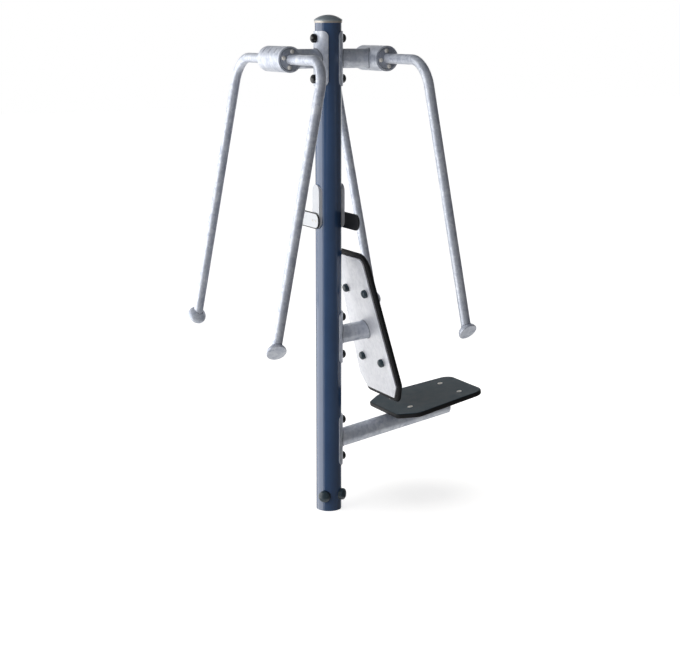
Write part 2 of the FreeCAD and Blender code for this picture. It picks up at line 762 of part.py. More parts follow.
def make_back_rest():
    node("back_saddle", saddle("back_bracket_height"))
    length = "back_reach * 2"
    span = "back_plate_length"
    beyond = moved(block(span, span, span, ("0 - %s / 2" % span, "0 - %s / 2" % span, "0")), back_frame)
    solid = moved(cylinder(TUBE, length, ORIGIN, "x"), back_tube_frame)
    hollow = moved(cylinder(TUBE + " - bracket_tube_wall", length, ORIGIN, "x"), back_tube_frame)
    node("back_tube", cut(solid, hollow, saddle_cylinder("back_bracket_height"), beyond))
    steel = plate(back_outline("0", "0"), "0", "back_plate_thickness")
    foot_level = (size("back_plate_foot_rise") - size("back_plate_length")) / 2
    dress(steel, "back_plate_top_radius", upright_within(low=0.0))
    dress(steel, "back_plate_low_radius", upright_within(foot_level, 0.0))
    dress(steel, "back_plate_foot_radius", upright_within(high=foot_level))
    bolt_radius = "pad_bolt_diameter / 2"
    holes = [cylinder(bolt_radius, "back_plate_thickness", (x, y, "0")) for x, y in BACK_SPOTS]
    node("back_plate", cut(steel, *holes), back_frame)
    front = "back_plate_thickness"
    soft = plate(back_outline("pad_margin", "pad_foot_margin"), front, "pad_thickness")
    dress(soft, "pad_top_radius", upright_within(low=0.0))
    dress(soft, "pad_low_radius", upright_within(high=0.0))
    dress(soft, "pad_edge_radius", not_upright)
    seats = [cylinder("insert_diameter / 2", "insert_length", (x, y, front)) for x, y in BACK_SPOTS]
    node("back_pad", cut(soft, *seats), back_frame)
    inserts = []
    bolts = []
    caps = []
    for x, y in BACK_SPOTS:
        body = cylinder("insert_diameter / 2", "insert_length", (x, y, front))
        inserts.append(cut(body, cylinder(bolt_radius, "insert_length", (x, y, front))))
        shank = cylinder(bolt_radius, "back_plate_thickness + pad_bolt_depth", (x, y, "0"))
        head = hexagon("pad_bolt_across_flats", "pad_bolt_head", (x, y, "0"), "-z")
        bolts.append(fuse(shank, head))
        cap = group([dome_cap("bolt_cap_diameter", "bolt_cap_height", "bolt_cap_dome")])
        caps.append(at(cap, (x, y, "0"), ALONG["-z"]))
    node("back_pad_inserts", group(inserts), back_frame)
    node("back_pad_bolts", group(bolts), back_frame)
    node("back_pad_bolt_caps", group(caps), back_frame)


# seat, drawn with x along the tube from the saddle, y across and z out of the board
SEAT_FAR = "seat_bolt_start + seat_bolt_spacing"
SEAT_SPOTS = [(x, y) for x in ("seat_bolt_start", SEAT_FAR)
              for y in ("seat_bolt_gauge / 2", "0 - seat_bolt_gauge / 2")]
SEAT_UNDERSIDE = TUBE + " + seat_plate_thickness"


def make_seat_bracket():
    node("seat_saddle", saddle("seat_bracket_height"))
    start = ("0 - bracket_tube_diameter / 2", "0", "0")
    length = "seat_tube_length + bracket_tube_diameter / 2"
    solid = moved(cylinder(TUBE, length, start, "x"), seat_frame)
    hollow = moved(cylinder(TUBE + " - bracket_tube_wall", length, start, "x"), seat_frame)
    node("seat_tube", cut(solid, hollow, saddle_cylinder("seat_bracket_height")))
    disc = cylinder(TUBE, "tube_cap_thickness", ("seat_tube_length", "0", "0"), "x")
    plug_radius = TUBE + " - bracket_tube_wall"
    plug = cylinder(plug_radius, "tube_cap_spigot", ("seat_tube_length - tube_cap_spigot", "0", "0"), "x")
    node("seat_tube_cap", fuse(disc, plug), seat_frame)
    place = ("seat_plate_start", "0 - seat_plate_width / 2", TUBE)
    steel = block("seat_plate_length", "seat_plate_width", "seat_plate_thickness", place)
    steel = rounded(steel, "seat_plate_radius", straight_along(Z))
    holes = [cylinder("seat_bolt_diameter / 2", "seat_plate_thickness", (x, y, TUBE)) for x, y in SEAT_SPOTS]
    node("seat_plate", cut(steel, *holes), seat_frame)


def make_seat_board():
    front = SEAT_FAR + " + seat_front_overhang"
    rear = "seat_bolt_start - seat_rear_overhang"
    corners = [
        ("seat_front_width / 2", front),
        ("seat_wide_width / 2", rear + " + seat_rear_taper"),
        ("seat_rear_width / 2", rear),
    ]
    board = plate(mirrored(corners), SEAT_UNDERSIDE, "seat_thickness")
    middle = size("seat_bolt_start") + size("seat_bolt_spacing") / 2
    dress(board, "seat_front_radius", upright_within(low=middle))
    taper_level = size("seat_bolt_start") - size("seat_rear_overhang") + size("seat_rear_taper") / 2
    dress(board, "seat_wide_radius", upright_within(taper_level, middle))
    dress(board, "seat_rear_radius", upright_within(high=taper_level))
    dress(board, "seat_edge_radius", not_upright)
    laid = moved(board, frame(turn=FreeCAD.Rotation(Z, -QUARTER_TURN)))
    top = SEAT_UNDERSIDE + " + seat_thickness"
    head_low = top + " - seat_bolt_head"
    shank_low = TUBE + " - seat_nut_height - bolt_overhang"
    shank_length = "%s - (%s)" % (head_low, shank_low)
    pockets = []
    bolts = []
    nuts = []
    for x, y in SEAT_SPOTS:
        head = ("seat_bolt_head_diameter / 2", "seat_bolt_head", (x, y, head_low))
        shank = ("seat_bolt_diameter / 2", shank_length, (x, y, shank_low))
        pockets += [cylinder(*head), cylinder(*shank)]
        bolts.append(fuse(cylinder(*head), cylinder(*shank)))
        low = (x, y, TUBE + " - seat_nut_height")
        hole = cylinder("seat_bolt_diameter / 2", "seat_nut_height", low)
        nuts.append(cut(hexagon("seat_nut_across_flats", "seat_nut_height", low), hole))
    node("seat_board", cut(laid, *pockets), seat_frame)
    node("seat_bolts", group(bolts), seat_frame)
    node("seat_nuts", group(nuts), seat_frame)


make_post()
make_post_cap()
make_foot()
make_top_fasteners()
make_lower_fasteners()
for name in STATIONS:
    make_top_bracket(name)
    make_housing(name)
    make_stop(name)
    make_hub(name)
    make_flanges(name)
    make_arm(name, "rear", 0.0)
    make_arm(name, "front", HALF_TURN)
    make_sign(name)
make_sign_screws()
make_back_rest()
make_seat_bracket()
make_seat_board()
doc.recompute()

for obj in doc.Objects:
    if "Invalid" in obj.State or "Error" in obj.State:
        raise RuntimeError("%s (%s) is %s" % (obj.Name, obj.Label, obj.State))
for obj in nodes:
    if obj.Shape.isNull() or not obj.Shape.isValid() or not obj.Shape.Solids:
        raise RuntimeError("%s has no valid solid" % obj.Label)

os.makedirs("parts", exist_ok=True)
for obj in nodes:
    obj.Shape.exportStep(os.path.join("parts", obj.Label + ".step"))
    print("%-28s solids %2d  volume %11.1f mm3" % (obj.Label, len(obj.Shape.Solids), obj.Shape.Volume))
print("%d sub-parts" % len(nodes))
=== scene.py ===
# %% [markdown]
# # An outdoor double chest press
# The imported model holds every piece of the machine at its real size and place. This lesson dresses it:
# it sets up the camera and the light, makes a finish for each material, and adds the forms that only a
# mesh can give, such as the crowned back pad, the weld beads and the domed bolt heads.

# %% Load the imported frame
import json
import math

import bmesh
import bpy
from mathutils import Matrix, Vector


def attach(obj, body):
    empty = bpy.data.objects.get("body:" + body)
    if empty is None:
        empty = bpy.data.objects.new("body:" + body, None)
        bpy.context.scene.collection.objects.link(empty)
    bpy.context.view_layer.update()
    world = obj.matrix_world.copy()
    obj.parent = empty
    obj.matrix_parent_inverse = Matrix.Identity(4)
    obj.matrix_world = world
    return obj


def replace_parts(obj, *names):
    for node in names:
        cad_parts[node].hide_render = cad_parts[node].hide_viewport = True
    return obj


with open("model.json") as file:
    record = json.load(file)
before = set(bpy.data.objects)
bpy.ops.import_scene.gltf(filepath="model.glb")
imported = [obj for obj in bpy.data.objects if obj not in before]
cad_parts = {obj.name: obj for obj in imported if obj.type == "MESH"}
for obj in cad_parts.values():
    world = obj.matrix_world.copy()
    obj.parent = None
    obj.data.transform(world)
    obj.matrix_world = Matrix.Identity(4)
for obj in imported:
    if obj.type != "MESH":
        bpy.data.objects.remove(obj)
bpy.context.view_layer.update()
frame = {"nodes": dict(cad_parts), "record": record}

scene = bpy.context.scene
MM = 0.001
STATIONS = ("seat_side", "open_side")
BOTH_SIDES = (-1, 1)

# %% [markdown]
# ## Camera
# The picture was taken from a little above head height, in front of the machine and to its left. The
# place, the turn and the focal length were worked out from the post, the arms, the housings and the seat's
# bolts. A focal length in pixels is turned into millimetres on a sensor of the usual width.

# %% Camera
CAMERA_PLACE = (-2.8197, -5.6447, 2.1449)
CAMERA_DOWN = math.radians(11.93)
CAMERA_TURN = math.radians(-27.0)
FOCAL_PIXELS = 1454.25
IMAGE_WIDTH_PIXELS = 680
SENSOR_WIDTH_MM = 36.0

camera_data = bpy.data.cameras.new("camera")
camera_data.sensor_width = SENSOR_WIDTH_MM
camera_data.sensor_fit = "HORIZONTAL"
camera_data.lens = FOCAL_PIXELS * SENSOR_WIDTH_MM / IMAGE_WIDTH_PIXELS
camera = bpy.data.objects.new("camera", camera_data)
camera.location = CAMERA_PLACE
camera.rotation_euler = (math.pi / 2 - CAMERA_DOWN, 0.0, CAMERA_TURN)
scene.collection.objects.link(camera)
scene.camera = camera
scene.view_settings.view_transform = "Standard"
print("camera: %.1f mm lens" % camera_data.lens)

# %% [markdown]
# ## Nodes in short form
# Every finish below is a small node tree. A few helpers keep each tree readable: one adds a node and
# sets its inputs, one joins a value to a socket, and colours are written as they look on a screen and
# changed to the linear values that the shader needs.

# %% Helpers for node trees
WHITE = (1.0, 1.0, 1.0, 1.0)


def srgb(red, green, blue):
    """A colour as a screen shows it, 0 to 255, as linear red, green, blue and alpha, by the sRGB curve."""
    def linear(value):
        share = value / 255
        return share / 12.92 if share <= 0.04045 else ((share + 0.055) / 1.055) ** 2.4

    return (linear(red), linear(green), linear(blue), 1.0)


def feed(tree, value, socket):
    """Join an output socket to an input, or set a plain value on it."""
    if isinstance(value, bpy.types.NodeSocket):
        tree.links.new(value, socket)
    else:
        socket.default_value = value


def set_inputs(tree, node, **inputs):
    """Feed the inputs of a node, which are named with _ for a space."""
    for name, value in inputs.items():
        feed(tree, value, node.inputs[name.replace("_", " ")])


def add(tree, kind, settings=None, **inputs):
    """A new node with its settings and its inputs."""
    node = tree.nodes.new(kind)
    for name, value in (settings or {}).items():
        setattr(node, name, value)
    set_inputs(tree, node, **inputs)
    return node


print("a mid grey on the screen is %.3f in linear light" % srgb(128, 128, 128)[0])


# %% Helpers for whole trees
def empty_tree(owner):
    """The node tree of a material or a world, with nothing in it."""
    owner.use_nodes = True
    owner.node_tree.nodes.clear()
    return owner.node_tree


def show(tree, shader, output="ShaderNodeOutputMaterial"):
    """Join what a shader gives to the end of its tree."""
    tree.links.new(shader, add(tree, output).inputs["Surface"])


def new_finish(name):
    """A material, its tree, its principled shader and the place of each point on the object."""
    finish = bpy.data.materials.new(name)
    tree = empty_tree(finish)
    shader = add(tree, "ShaderNodeBsdfPrincipled")
    show(tree, shader.outputs["BSDF"])
    place = add(tree, "ShaderNodeTexCoord").outputs["Object"]
    return finish, tree, shader, place


print("tree helpers ready")

# %% Helpers for patterns and colours
NOISE_ROUGHNESS = 0.55
# A Mix node has a set of sockets for each kind of value. These are the places of its colours.
MIX_FACTOR = 0
MIX_FIRST = 6
MIX_SECOND = 7
MIX_RESULT = 2


def noise(tree, place, scale, detail=3.0):
    """A cloudy value, with about as many clouds to the metre as scale says."""
    inputs = {"Scale": scale, "Detail": detail, "Roughness": NOISE_ROUGHNESS}
    return add(tree, "ShaderNodeTexNoise", Vector=place, **inputs).outputs["Fac"]


def stretched(tree, place, scale):
    """The place of a point, scaled by its own number along each axis, for a pattern with a direction."""
    return add(tree, "ShaderNodeMapping", Vector=place, Scale=scale).outputs["Vector"]


def spread(tree, value, low, high, start=0.3, end=0.7):
    """Take a value from the band start to end, where most of a noise lies, to the band low to high."""
    inputs = {"From_Min": start, "From_Max": end, "To_Min": low, "To_Max": high}
    return add(tree, "ShaderNodeMapRange", Value=value, **inputs).outputs["Result"]


def shaded(tree, factor, first, second):
    """A colour between two others."""
    node = add(tree, "ShaderNodeMix", {"data_type": "RGBA"})
    feed(tree, factor, node.inputs[MIX_FACTOR])
    feed(tree, first, node.inputs[MIX_FIRST])
    feed(tree, second, node.inputs[MIX_SECOND])
    return node.outputs[MIX_RESULT]


print("pattern helpers ready")


# %% Helpers for sums and relief
def maths(tree, operation, first, second):
    """A sum or another operation on two numbers."""
    node = add(tree, "ShaderNodeMath", {"operation": operation})
    feed(tree, first, node.inputs[0])
    feed(tree, second, node.inputs[1])
    return node.outputs[0]


def vector_maths(tree, operation, first, second, result="Value"):
    """An operation on two vectors, which gives a number unless result says Vector."""
    node = add(tree, "ShaderNodeVectorMath", {"operation": operation})
    feed(tree, first, node.inputs[0])
    feed(tree, second, node.inputs[1])
    return node.outputs[result]


def weighted(tree, *parts):
    """The sum of some values, each given with its weight."""
    total = None
    for value, weight in parts:
        share = maths(tree, "MULTIPLY", value, weight)
        total = share if total is None else maths(tree, "ADD", total, share)
    return total


def relief(tree, height, depth, strength, under=None):
    """A bump whose full height is depth, in metres, over another bump if one is given."""
    node = add(tree, "ShaderNodeBump", Height=height, Distance=depth, Strength=strength)
    if under is not None:
        tree.links.new(under, node.inputs["Normal"])
    return node.outputs["Normal"]


print("sum and relief helpers ready")

# %% [markdown]
# ## World and floor
# The machine stands on a white studio floor. More light would make it white, but would bleach the pale
# zinc too. So rays from the camera, a mirror or a glass see plain white in the world, and the floor adds
# white of its own, more of it further out. Mirrors look past the floor into the white world. The soft
# light on the machine is set apart from that: a little cool light from all round, more from the lit side.

# %% World
AMBIENT_SHADE = 0.06
AMBIENT_LIT = 1.60
AMBIENT_COLOUR = srgb(238, 243, 255)
LIT_SIDE = Vector((-0.97, -0.20, -0.08)).normalized()
LIT_SPREAD = (0.45, 1.0)


def seen_directly(tree):
    """One for rays from the camera, a mirror or a glass, and nought for rays of soft light."""
    path = add(tree, "ShaderNodeLightPath").outputs
    first = maths(tree, "ADD", path["Is Camera Ray"], path["Is Glossy Ray"])
    either = maths(tree, "ADD", first, path["Is Transmission Ray"])
    return maths(tree, "MINIMUM", either, 1.0)


def make_world():
    world = bpy.data.worlds.new("studio")
    tree = empty_tree(world)
    direction = add(tree, "ShaderNodeTexCoord").outputs["Generated"]
    towards = vector_maths(tree, "DOT_PRODUCT", direction, LIT_SIDE)
    level = spread(tree, towards, AMBIENT_SHADE, AMBIENT_LIT, *LIT_SPREAD)
    soft = add(tree, "ShaderNodeBackground", Color=AMBIENT_COLOUR, Strength=level)
    white = add(tree, "ShaderNodeBackground", Color=WHITE, Strength=1.0)
    either = add(tree, "ShaderNodeMixShader", Fac=seen_directly(tree))
    tree.links.new(soft.outputs[0], either.inputs[1])
    tree.links.new(white.outputs[0], either.inputs[2])
    show(tree, either.outputs[0], "ShaderNodeOutputWorld")
    scene.world = world


make_world()
print("ambient level %.2f to %.2f" % (AMBIENT_SHADE, AMBIENT_LIT))

# %% Floor
FLOOR_SIZE = 60.0
FLOOR_DROP = 0.5 * MM
FLOOR_MIDDLE = (0.47, -0.03, 0.0)
FLOOR_WHITE_NEAR = 0.69
FLOOR_WHITE_FAR = 1.0
FLOOR_FADE = (0.10, 0.9)
FLOOR_COLOUR = srgb(207, 204, 199)


def floor_finish():
    finish = bpy.data.materials.new("studio_floor")
    tree = empty_tree(finish)
    place = add(tree, "ShaderNodeTexCoord").outputs["Object"]
    away = vector_maths(tree, "DISTANCE", place, FLOOR_MIDDLE)
    white = spread(tree, away, FLOOR_WHITE_NEAR, FLOOR_WHITE_FAR, *FLOOR_FADE)
    strength = maths(tree, "MULTIPLY", seen_directly(tree), white)
    glow = add(tree, "ShaderNodeEmission", Color=WHITE, Strength=strength)
    plain = add(tree, "ShaderNodeBsdfDiffuse", Color=FLOOR_COLOUR)
    both = add(tree, "ShaderNodeAddShader")
    tree.links.new(plain.outputs[0], both.inputs[0])
    tree.links.new(glow.outputs[0], both.inputs[1])
    show(tree, both.outputs[0])
    return finish


def stage_piece(name, points, faces, finish, mirrored):
    """A piece of the studio, which reflections see only if it is mirrored."""
    mesh = bpy.data.meshes.new(name)
    mesh.from_pydata(points, [], faces)
    mesh.materials.append(finish)
    piece = bpy.data.objects.new(name, mesh)
    piece.visible_glossy = mirrored
    scene.collection.objects.link(piece)
    return piece


reach = FLOOR_SIZE / 2
floor_plan = ((-reach, -reach), (reach, -reach), (reach, reach), (-reach, reach))
floor_corners = [(x, y, -FLOOR_DROP) for x, y in floor_plan]
floor = stage_piece("floor", floor_corners, [(0, 1, 2, 3)], floor_finish(), mirrored=False)
print("floor %.0f m wide" % FLOOR_SIZE)

# %% [markdown]
# ## Grey walls
# In an all white room every side of a tube mirrors the same white, and the tube looks flat. A round grey
# wall on the camera's side and a ceiling give the reflections a darker part. Only reflections see them.

# %% Grey walls that only reflections see
WALL_RADIUS = 9.0
WALL_LOW = -6.0
WALL_HIGH = 7.0
WALL_ARC = (math.radians(205), math.radians(385))
WALL_STEPS = 36
WALL_GREY = 0.16


def on_wall(angle, height):
    """A point of the wall's circle."""
    return (WALL_RADIUS * math.cos(angle), WALL_RADIUS * math.sin(angle), height)


def wall_finish():
    finish = bpy.data.materials.new("studio_wall")
    tree = empty_tree(finish)
    glow = add(tree, "ShaderNodeEmission", Color=WHITE, Strength=WALL_GREY)
    show(tree, glow.outputs[0])
    return finish


def make_walls():
    start, end = WALL_ARC
    points = []
    for i in range(WALL_STEPS + 1):
        angle = start + (end - start) * i / WALL_STEPS
        points += [on_wall(angle, WALL_LOW), on_wall(angle, WALL_HIGH)]
    faces = [(2 * i, 2 * i + 2, 2 * i + 3, 2 * i + 1) for i in range(WALL_STEPS)]
    first = len(points)
    points += [on_wall(2 * math.pi * i / WALL_STEPS, WALL_HIGH) for i in range(WALL_STEPS)]
    faces.append(tuple(range(first, first + WALL_STEPS)))
    walls = stage_piece("studio_walls", points, faces, wall_finish(), mirrored=True)
    walls.visible_camera = False
    walls.visible_diffuse = False
    walls.visible_transmission = False
    walls.visible_shadow = False
    print("walls over %.0f degrees, and a ceiling" % math.degrees(end - start))


make_walls()

# %% [markdown]
# ## Lamps
# A wide soft panel on the left gives the bright sides of the tubes, and its mirror image is the pale band
# along the post. A small lamp lifts the fronts on the left, and a large one behind lights the far sides.
# These two stay out of reflections. A lamp above lights the floor alone, so that the seat leaves a faint
# shadow there, and the lamp behind leaves the floor out.

# %% Lamps
LAMPS = {
    # name: (place, point it faces, width, height, power)
    "left_panel": ((-3.44, 1.83, 0.5), (0.0, 0.0, 0.5), 5.6, 5.2, 150.0),
    "left_front": ((-2.7, -0.8, 1.4), (-0.2, 0.0, 1.5), 1.2, 1.2, 15.0),
    "back_fill": ((3.1, 2.5, 1.3), (0.0, 0.0, 1.2), 3.0, 2.4, 130.0),
    "floor_lamp": ((0.5, 0.25, 4.2), (0.48, 0.0, 0.0), 3.0, 2.6, 46.0),
}
NOT_MIRRORED = ("left_front", "back_fill")


def make_lamp(name, place, target, width, height, power):
    data = bpy.data.lights.new(name, "AREA")
    data.shape = "RECTANGLE"
    data.size = width
    data.size_y = height
    data.energy = power
    lamp = bpy.data.objects.new(name, data)
    lamp.location = place
    lamp.rotation_euler = (Vector(target) - Vector(place)).to_track_quat("-Z", "Y").to_euler()
    lamp.visible_camera = False
    lamp.visible_glossy = name not in NOT_MIRRORED
    scene.collection.objects.link(lamp)
    return lamp


def link_floor(lamp, state):
    """With INCLUDE the lamp lights the floor alone, and with EXCLUDE all but the floor."""
    receivers = bpy.data.collections.new(lamp.name + "_receivers")
    receivers.objects.link(floor)
    receivers.collection_objects[0].light_linking.link_state = state
    lamp.light_linking.receiver_collection = receivers


lamps = {name: make_lamp(name, *setting) for name, setting in LAMPS.items()}
link_floor(lamps["floor_lamp"], "INCLUDE")
link_floor(lamps["back_fill"], "EXCLUDE")
print("lamps:", ", ".join(lamps))

# %% [markdown]
# ## Blue powder coat
# The post is coated with a satin blue powder. Up close such a coat has a fine orange peel, its colour
# drifts a little along the tube, and splashed soil dulls it just above the ground. One noise varies the
# gloss, and the peel is a bump from two more.

# %% Blue powder coat
COAT_DARK = srgb(49, 77, 115)
COAT_LIGHT = srgb(55, 85, 124)
SOIL_COLOUR = srgb(104, 105, 104)
SOIL_REACH = (0.02, 0.09)
SOIL_FADE = 0.09
SOIL_MOST = 0.22


def powder_coat():
    finish, tree, shader, place = new_finish("blue_powder_coat")
    drift = spread(tree, noise(tree, place, scale=5.0), 0.0, 1.0)
    colour = shaded(tree, drift, COAT_DARK, COAT_LIGHT)
    height = add(tree, "ShaderNodeSeparateXYZ", Vector=place).outputs["Z"]
    splash = spread(tree, noise(tree, place, scale=38.0, detail=5.0), *SOIL_REACH)
    below = maths(tree, "SUBTRACT", splash, height)
    soil = spread(tree, below, 0.0, SOIL_MOST, start=0.0, end=SOIL_FADE)
    peel = relief(tree, noise(tree, place, scale=620.0, detail=2.0), depth=0.02 * MM, strength=0.12)
    waves = noise(tree, place, scale=95.0, detail=2.0)
    set_inputs(
        tree, shader,
        Base_Color=shaded(tree, soil, colour, SOIL_COLOUR),
        Roughness=spread(tree, noise(tree, place, scale=60.0), 0.11, 0.16),
        Specular_IOR_Level=1.0,
        Normal=relief(tree, waves, depth=0.05 * MM, strength=0.12, under=peel),
    )
    return finish


FINISHES = {"post_paint": powder_coat()}
print("finishes:", ", ".join(FINISHES))

# %% [markdown]
# ## Hot-dip galvanised steel
# The arms, the housings and the brackets are dipped in zinc. Zinc freezes in flakes, the spangle, each of
# which reflects a little differently, and it weathers to a cloudy grey. A Voronoi texture gives each flake
# its own shade, two noises give the clouds and the runs, and the same flakes change the gloss. The metal
# is mixed with a matt part, because the weathered skin is an oxide. The weld beads and the arms' flanges
# are darker, with small flakes. The plate behind the pad is paler, which is painted light: a lit copy of
# the zinc.

# %% Galvanised steel
FLAKE_SIZE = 13 * MM
SMALL_FLAKE = 6 * MM
FLAKE_BEND = 12 * MM
RUN_SCALE = (60.0, 60.0, 11.0)


def galvanised(name, dark, light, flake=FLAKE_SIZE):
    finish, tree, shader, place = new_finish(name)
    bend = add(tree, "ShaderNodeTexNoise", Vector=place, Scale=55.0, Detail=2.0).outputs["Color"]
    shift = add(tree, "ShaderNodeVectorMath", {"operation": "SCALE"}, Vector=bend, Scale=FLAKE_BEND)
    warped = vector_maths(tree, "ADD", place, shift.outputs["Vector"], result="Vector")
    flakes = add(tree, "ShaderNodeTexVoronoi", Vector=warped, Scale=1.0 / flake).outputs["Color"]
    tint = add(tree, "ShaderNodeSeparateColor", Color=flakes).outputs["Red"]
    clouds = spread(tree, noise(tree, place, scale=17.0, detail=4.0), 0.0, 1.0)
    drawn_out = stretched(tree, place, RUN_SCALE)
    runs = spread(tree, noise(tree, drawn_out, scale=1.0, detail=4.0), 0.0, 1.0)
    shade = weighted(tree, (tint, 0.34), (clouds, 0.40), (runs, 0.26))
    grain = relief(tree, noise(tree, place, scale=420.0), depth=0.06 * MM, strength=0.30)
    set_inputs(
        tree, shader,
        Base_Color=shaded(tree, shade, dark, light),
        Roughness=spread(tree, tint, 0.46, 0.36, start=0.0, end=1.0),
        Metallic=0.40,
        Specular_IOR_Level=0.25,
        Normal=relief(tree, runs, depth=0.25 * MM, strength=0.25, under=grain),
    )
    return finish


FINISHES.update({
    "galvanised_steel": galvanised("galvanised_steel", srgb(174, 181, 196), srgb(242, 245, 250)),
    "weld_zinc": galvanised("weld_zinc", srgb(124, 128, 137), srgb(176, 180, 188), SMALL_FLAKE),
    # The plate's paler zinc is painted light: a lit copy of the zinc, not a colour of the plate's own.
    "plate_zinc": galvanised("plate_zinc", srgb(216, 217, 221), srgb(242, 242, 244)),
    "flange_zinc": galvanised("flange_zinc", srgb(142, 147, 159), srgb(196, 200, 210), SMALL_FLAKE),
})
print("finishes:", ", ".join(FINISHES))

# %% [markdown]
# ## Turned and rolled steel
# Bolts, the ring under the cap and the hidden hubs are bare steel with fine turning lines. A noise that is
# squeezed along some axes gives the lines, and a second one gives the stains that rain leaves. The bolts'
# stainless is near white with little metal in it, which is a painted reflection of the steel's glint.

# %% Bare steel
LINES_UPRIGHT = (900.0, 900.0, 60.0)
LINES_LEVEL = (60.0, 60.0, 1400.0)


def bare_steel(name, dark, light, rough, lines=LINES_UPRIGHT, metallic=0.85):
    finish, tree, shader, place = new_finish(name)
    fine = noise(tree, stretched(tree, place, lines), scale=1.0)
    stain = spread(tree, noise(tree, place, scale=85.0, detail=4.0), 0.0, 1.0)
    shade = weighted(tree, (fine, 0.45), (stain, 0.55))
    set_inputs(
        tree, shader,
        Base_Color=shaded(tree, shade, dark, light),
        Roughness=spread(tree, stain, rough + 0.08, rough - 0.06, start=0.0, end=1.0),
        Metallic=metallic,
        Normal=relief(tree, fine, depth=0.03 * MM, strength=0.4),
    )
    return finish


FINISHES.update({
    "machined_steel": bare_steel("turned_steel", srgb(150, 152, 156), srgb(190, 191, 194), rough=0.35),
    # Painted reflection: the near white of the stainless heads, with little metal, stands in for their glint.
    "stainless": bare_steel(
        "stainless_steel", srgb(222, 217, 207), srgb(246, 242, 233), rough=0.34, metallic=0.10),
    "bright_ring": bare_steel(
        "bright_ring", srgb(184, 176, 166), srgb(214, 208, 199), rough=0.34, lines=LINES_LEVEL, metallic=0.5),
})
print("finishes:", ", ".join(FINISHES))

# %% [markdown]
# ## Moulded plastic, cast board and rubber
# The caps, the seat and the pad are polymers that differ in colour, gloss and grain. One function makes
# them all: a fine leather-like grain from Voronoi cells and noise, and a cloudy drift of the colour. The
# seat's top is slate blue, and its edge is painted shade: the faces that look away from the top are made
# near black, told from the top by the way that each face looks.

# %% One function for the polymers
SEAT_TUBE_RISE = math.radians(9.2)
SEAT_UP = (-math.sin(SEAT_TUBE_RISE), 0.0, math.cos(SEAT_TUBE_RISE))
# Painted shade on the seat's edge: a near black for the faces that look away from its top, faded in over this
# band of facing.
SEAT_EDGE_PAINTED_SHADE = srgb(32, 32, 33)
EDGE_SHADE_BAND = (0.80, 0.95)


def moulded(name, dark, light, rough, grain_size, grain_depth, specular=0.4, edge_shade=None, top=None):
    """A polymer. Where an edge colour is given, it is painted as shade on the faces that look away from top.
    """
    finish, tree, shader, place = new_finish(name)
    cloud = spread(tree, noise(tree, place, scale=26.0, detail=4.0), 0.0, 1.0)
    speck = spread(tree, noise(tree, place, scale=310.0, detail=2.0), 0.0, 1.0)
    colour = shaded(tree, weighted(tree, (cloud, 0.6), (speck, 0.4)), dark, light)
    if edge_shade is not None:
        facing = add(tree, "ShaderNodeNewGeometry").outputs["Normal"]
        like_top = vector_maths(tree, "DOT_PRODUCT", facing, top)
        # Painted shade: faces that turn away from top get the darker edge colour.
        colour = shaded(tree, spread(tree, like_top, 1.0, 0.0, *EDGE_SHADE_BAND), colour, edge_shade)
    cells = add(tree, "ShaderNodeTexVoronoi", Vector=place, Scale=1.0 / grain_size).outputs["Distance"]
    fine = noise(tree, place, scale=1.6 / grain_size, detail=2.0)
    pores = relief(tree, fine, grain_depth, strength=0.5)
    set_inputs(
        tree, shader,
        Base_Color=colour,
        Roughness=spread(tree, cloud, rough - 0.04, rough + 0.06, start=0.0, end=1.0),
        Specular_IOR_Level=specular,
        Normal=relief(tree, cells, grain_depth, strength=0.5, under=pores),
    )
    return finish


print("the seat's top looks along", [round(part, 3) for part in SEAT_UP])

# %% The polymers of the machine
FINISHES.update({
    "black_plastic": moulded(
        "black_cap_plastic", srgb(18, 19, 21), srgb(26, 28, 30), rough=0.20,
        grain_size=1.2 * MM, grain_depth=0.02 * MM, specular=0.5),
    "plate_cap_plastic": moulded(
        "slate_cap_plastic", srgb(40, 54, 62), srgb(52, 68, 76), rough=0.20,
        grain_size=1.2 * MM, grain_depth=0.02 * MM, specular=0.5),
    "cap_plastic": moulded(
        "grey_green_plastic", srgb(150, 160, 163), srgb(166, 175, 177), rough=0.36,
        grain_size=1.5 * MM, grain_depth=0.06 * MM, specular=0.3),
    "bush_plastic": moulded(
        "bearing_plastic", srgb(88, 76, 58), srgb(106, 92, 70), rough=0.45,
        grain_size=2.0 * MM, grain_depth=0.03 * MM),
    "buffer_rubber": moulded(
        "buffer_rubber", srgb(26, 26, 27), srgb(36, 36, 37), rough=0.6,
        grain_size=1.0 * MM, grain_depth=0.05 * MM, specular=0.25),
    "pad_black": moulded(
        "pad_skin", srgb(27, 27, 28), srgb(36, 36, 37), rough=0.56,
        grain_size=1.6 * MM, grain_depth=0.08 * MM, specular=0.12),
    # The seat's edge is painted shade: its side faces are made darker than its top.
    "seat_slate": moulded(
        "seat_board", srgb(35, 55, 64), srgb(45, 66, 76), rough=0.50,
        grain_size=1.1 * MM, grain_depth=0.06 * MM, specular=0.2, edge_shade=SEAT_EDGE_PAINTED_SHADE, top=SEAT_UP),
    "carrier_grey": moulded(
        "carrier_plastic", srgb(224, 226, 228), srgb(236, 237, 238), rough=0.42,
        grain_size=1.4 * MM, grain_depth=0.04 * MM, specular=0.3),
    "sign_black": moulded(
        "sign_board", srgb(24, 25, 26), srgb(34, 35, 36), rough=0.34,
        grain_size=1.3 * MM, grain_depth=0.03 * MM, specular=0.25),
    "sign_film": moulded(
        "sign_film", srgb(230, 231, 232), srgb(238, 239, 239), rough=0.36,
        grain_size=2.2 * MM, grain_depth=0.02 * MM, specular=0.3),
})
print("finishes:", ", ".join(FINISHES))

# %% [markdown]
# ## A finish for every node
# The record names a material slot for each node, so one table from slot to finish dresses the whole
# frame. Then the arms' flanges get their own zinc, and the plate behind the pad a paler one, which is
# painted light. The nodes' own meshes stay as they are.


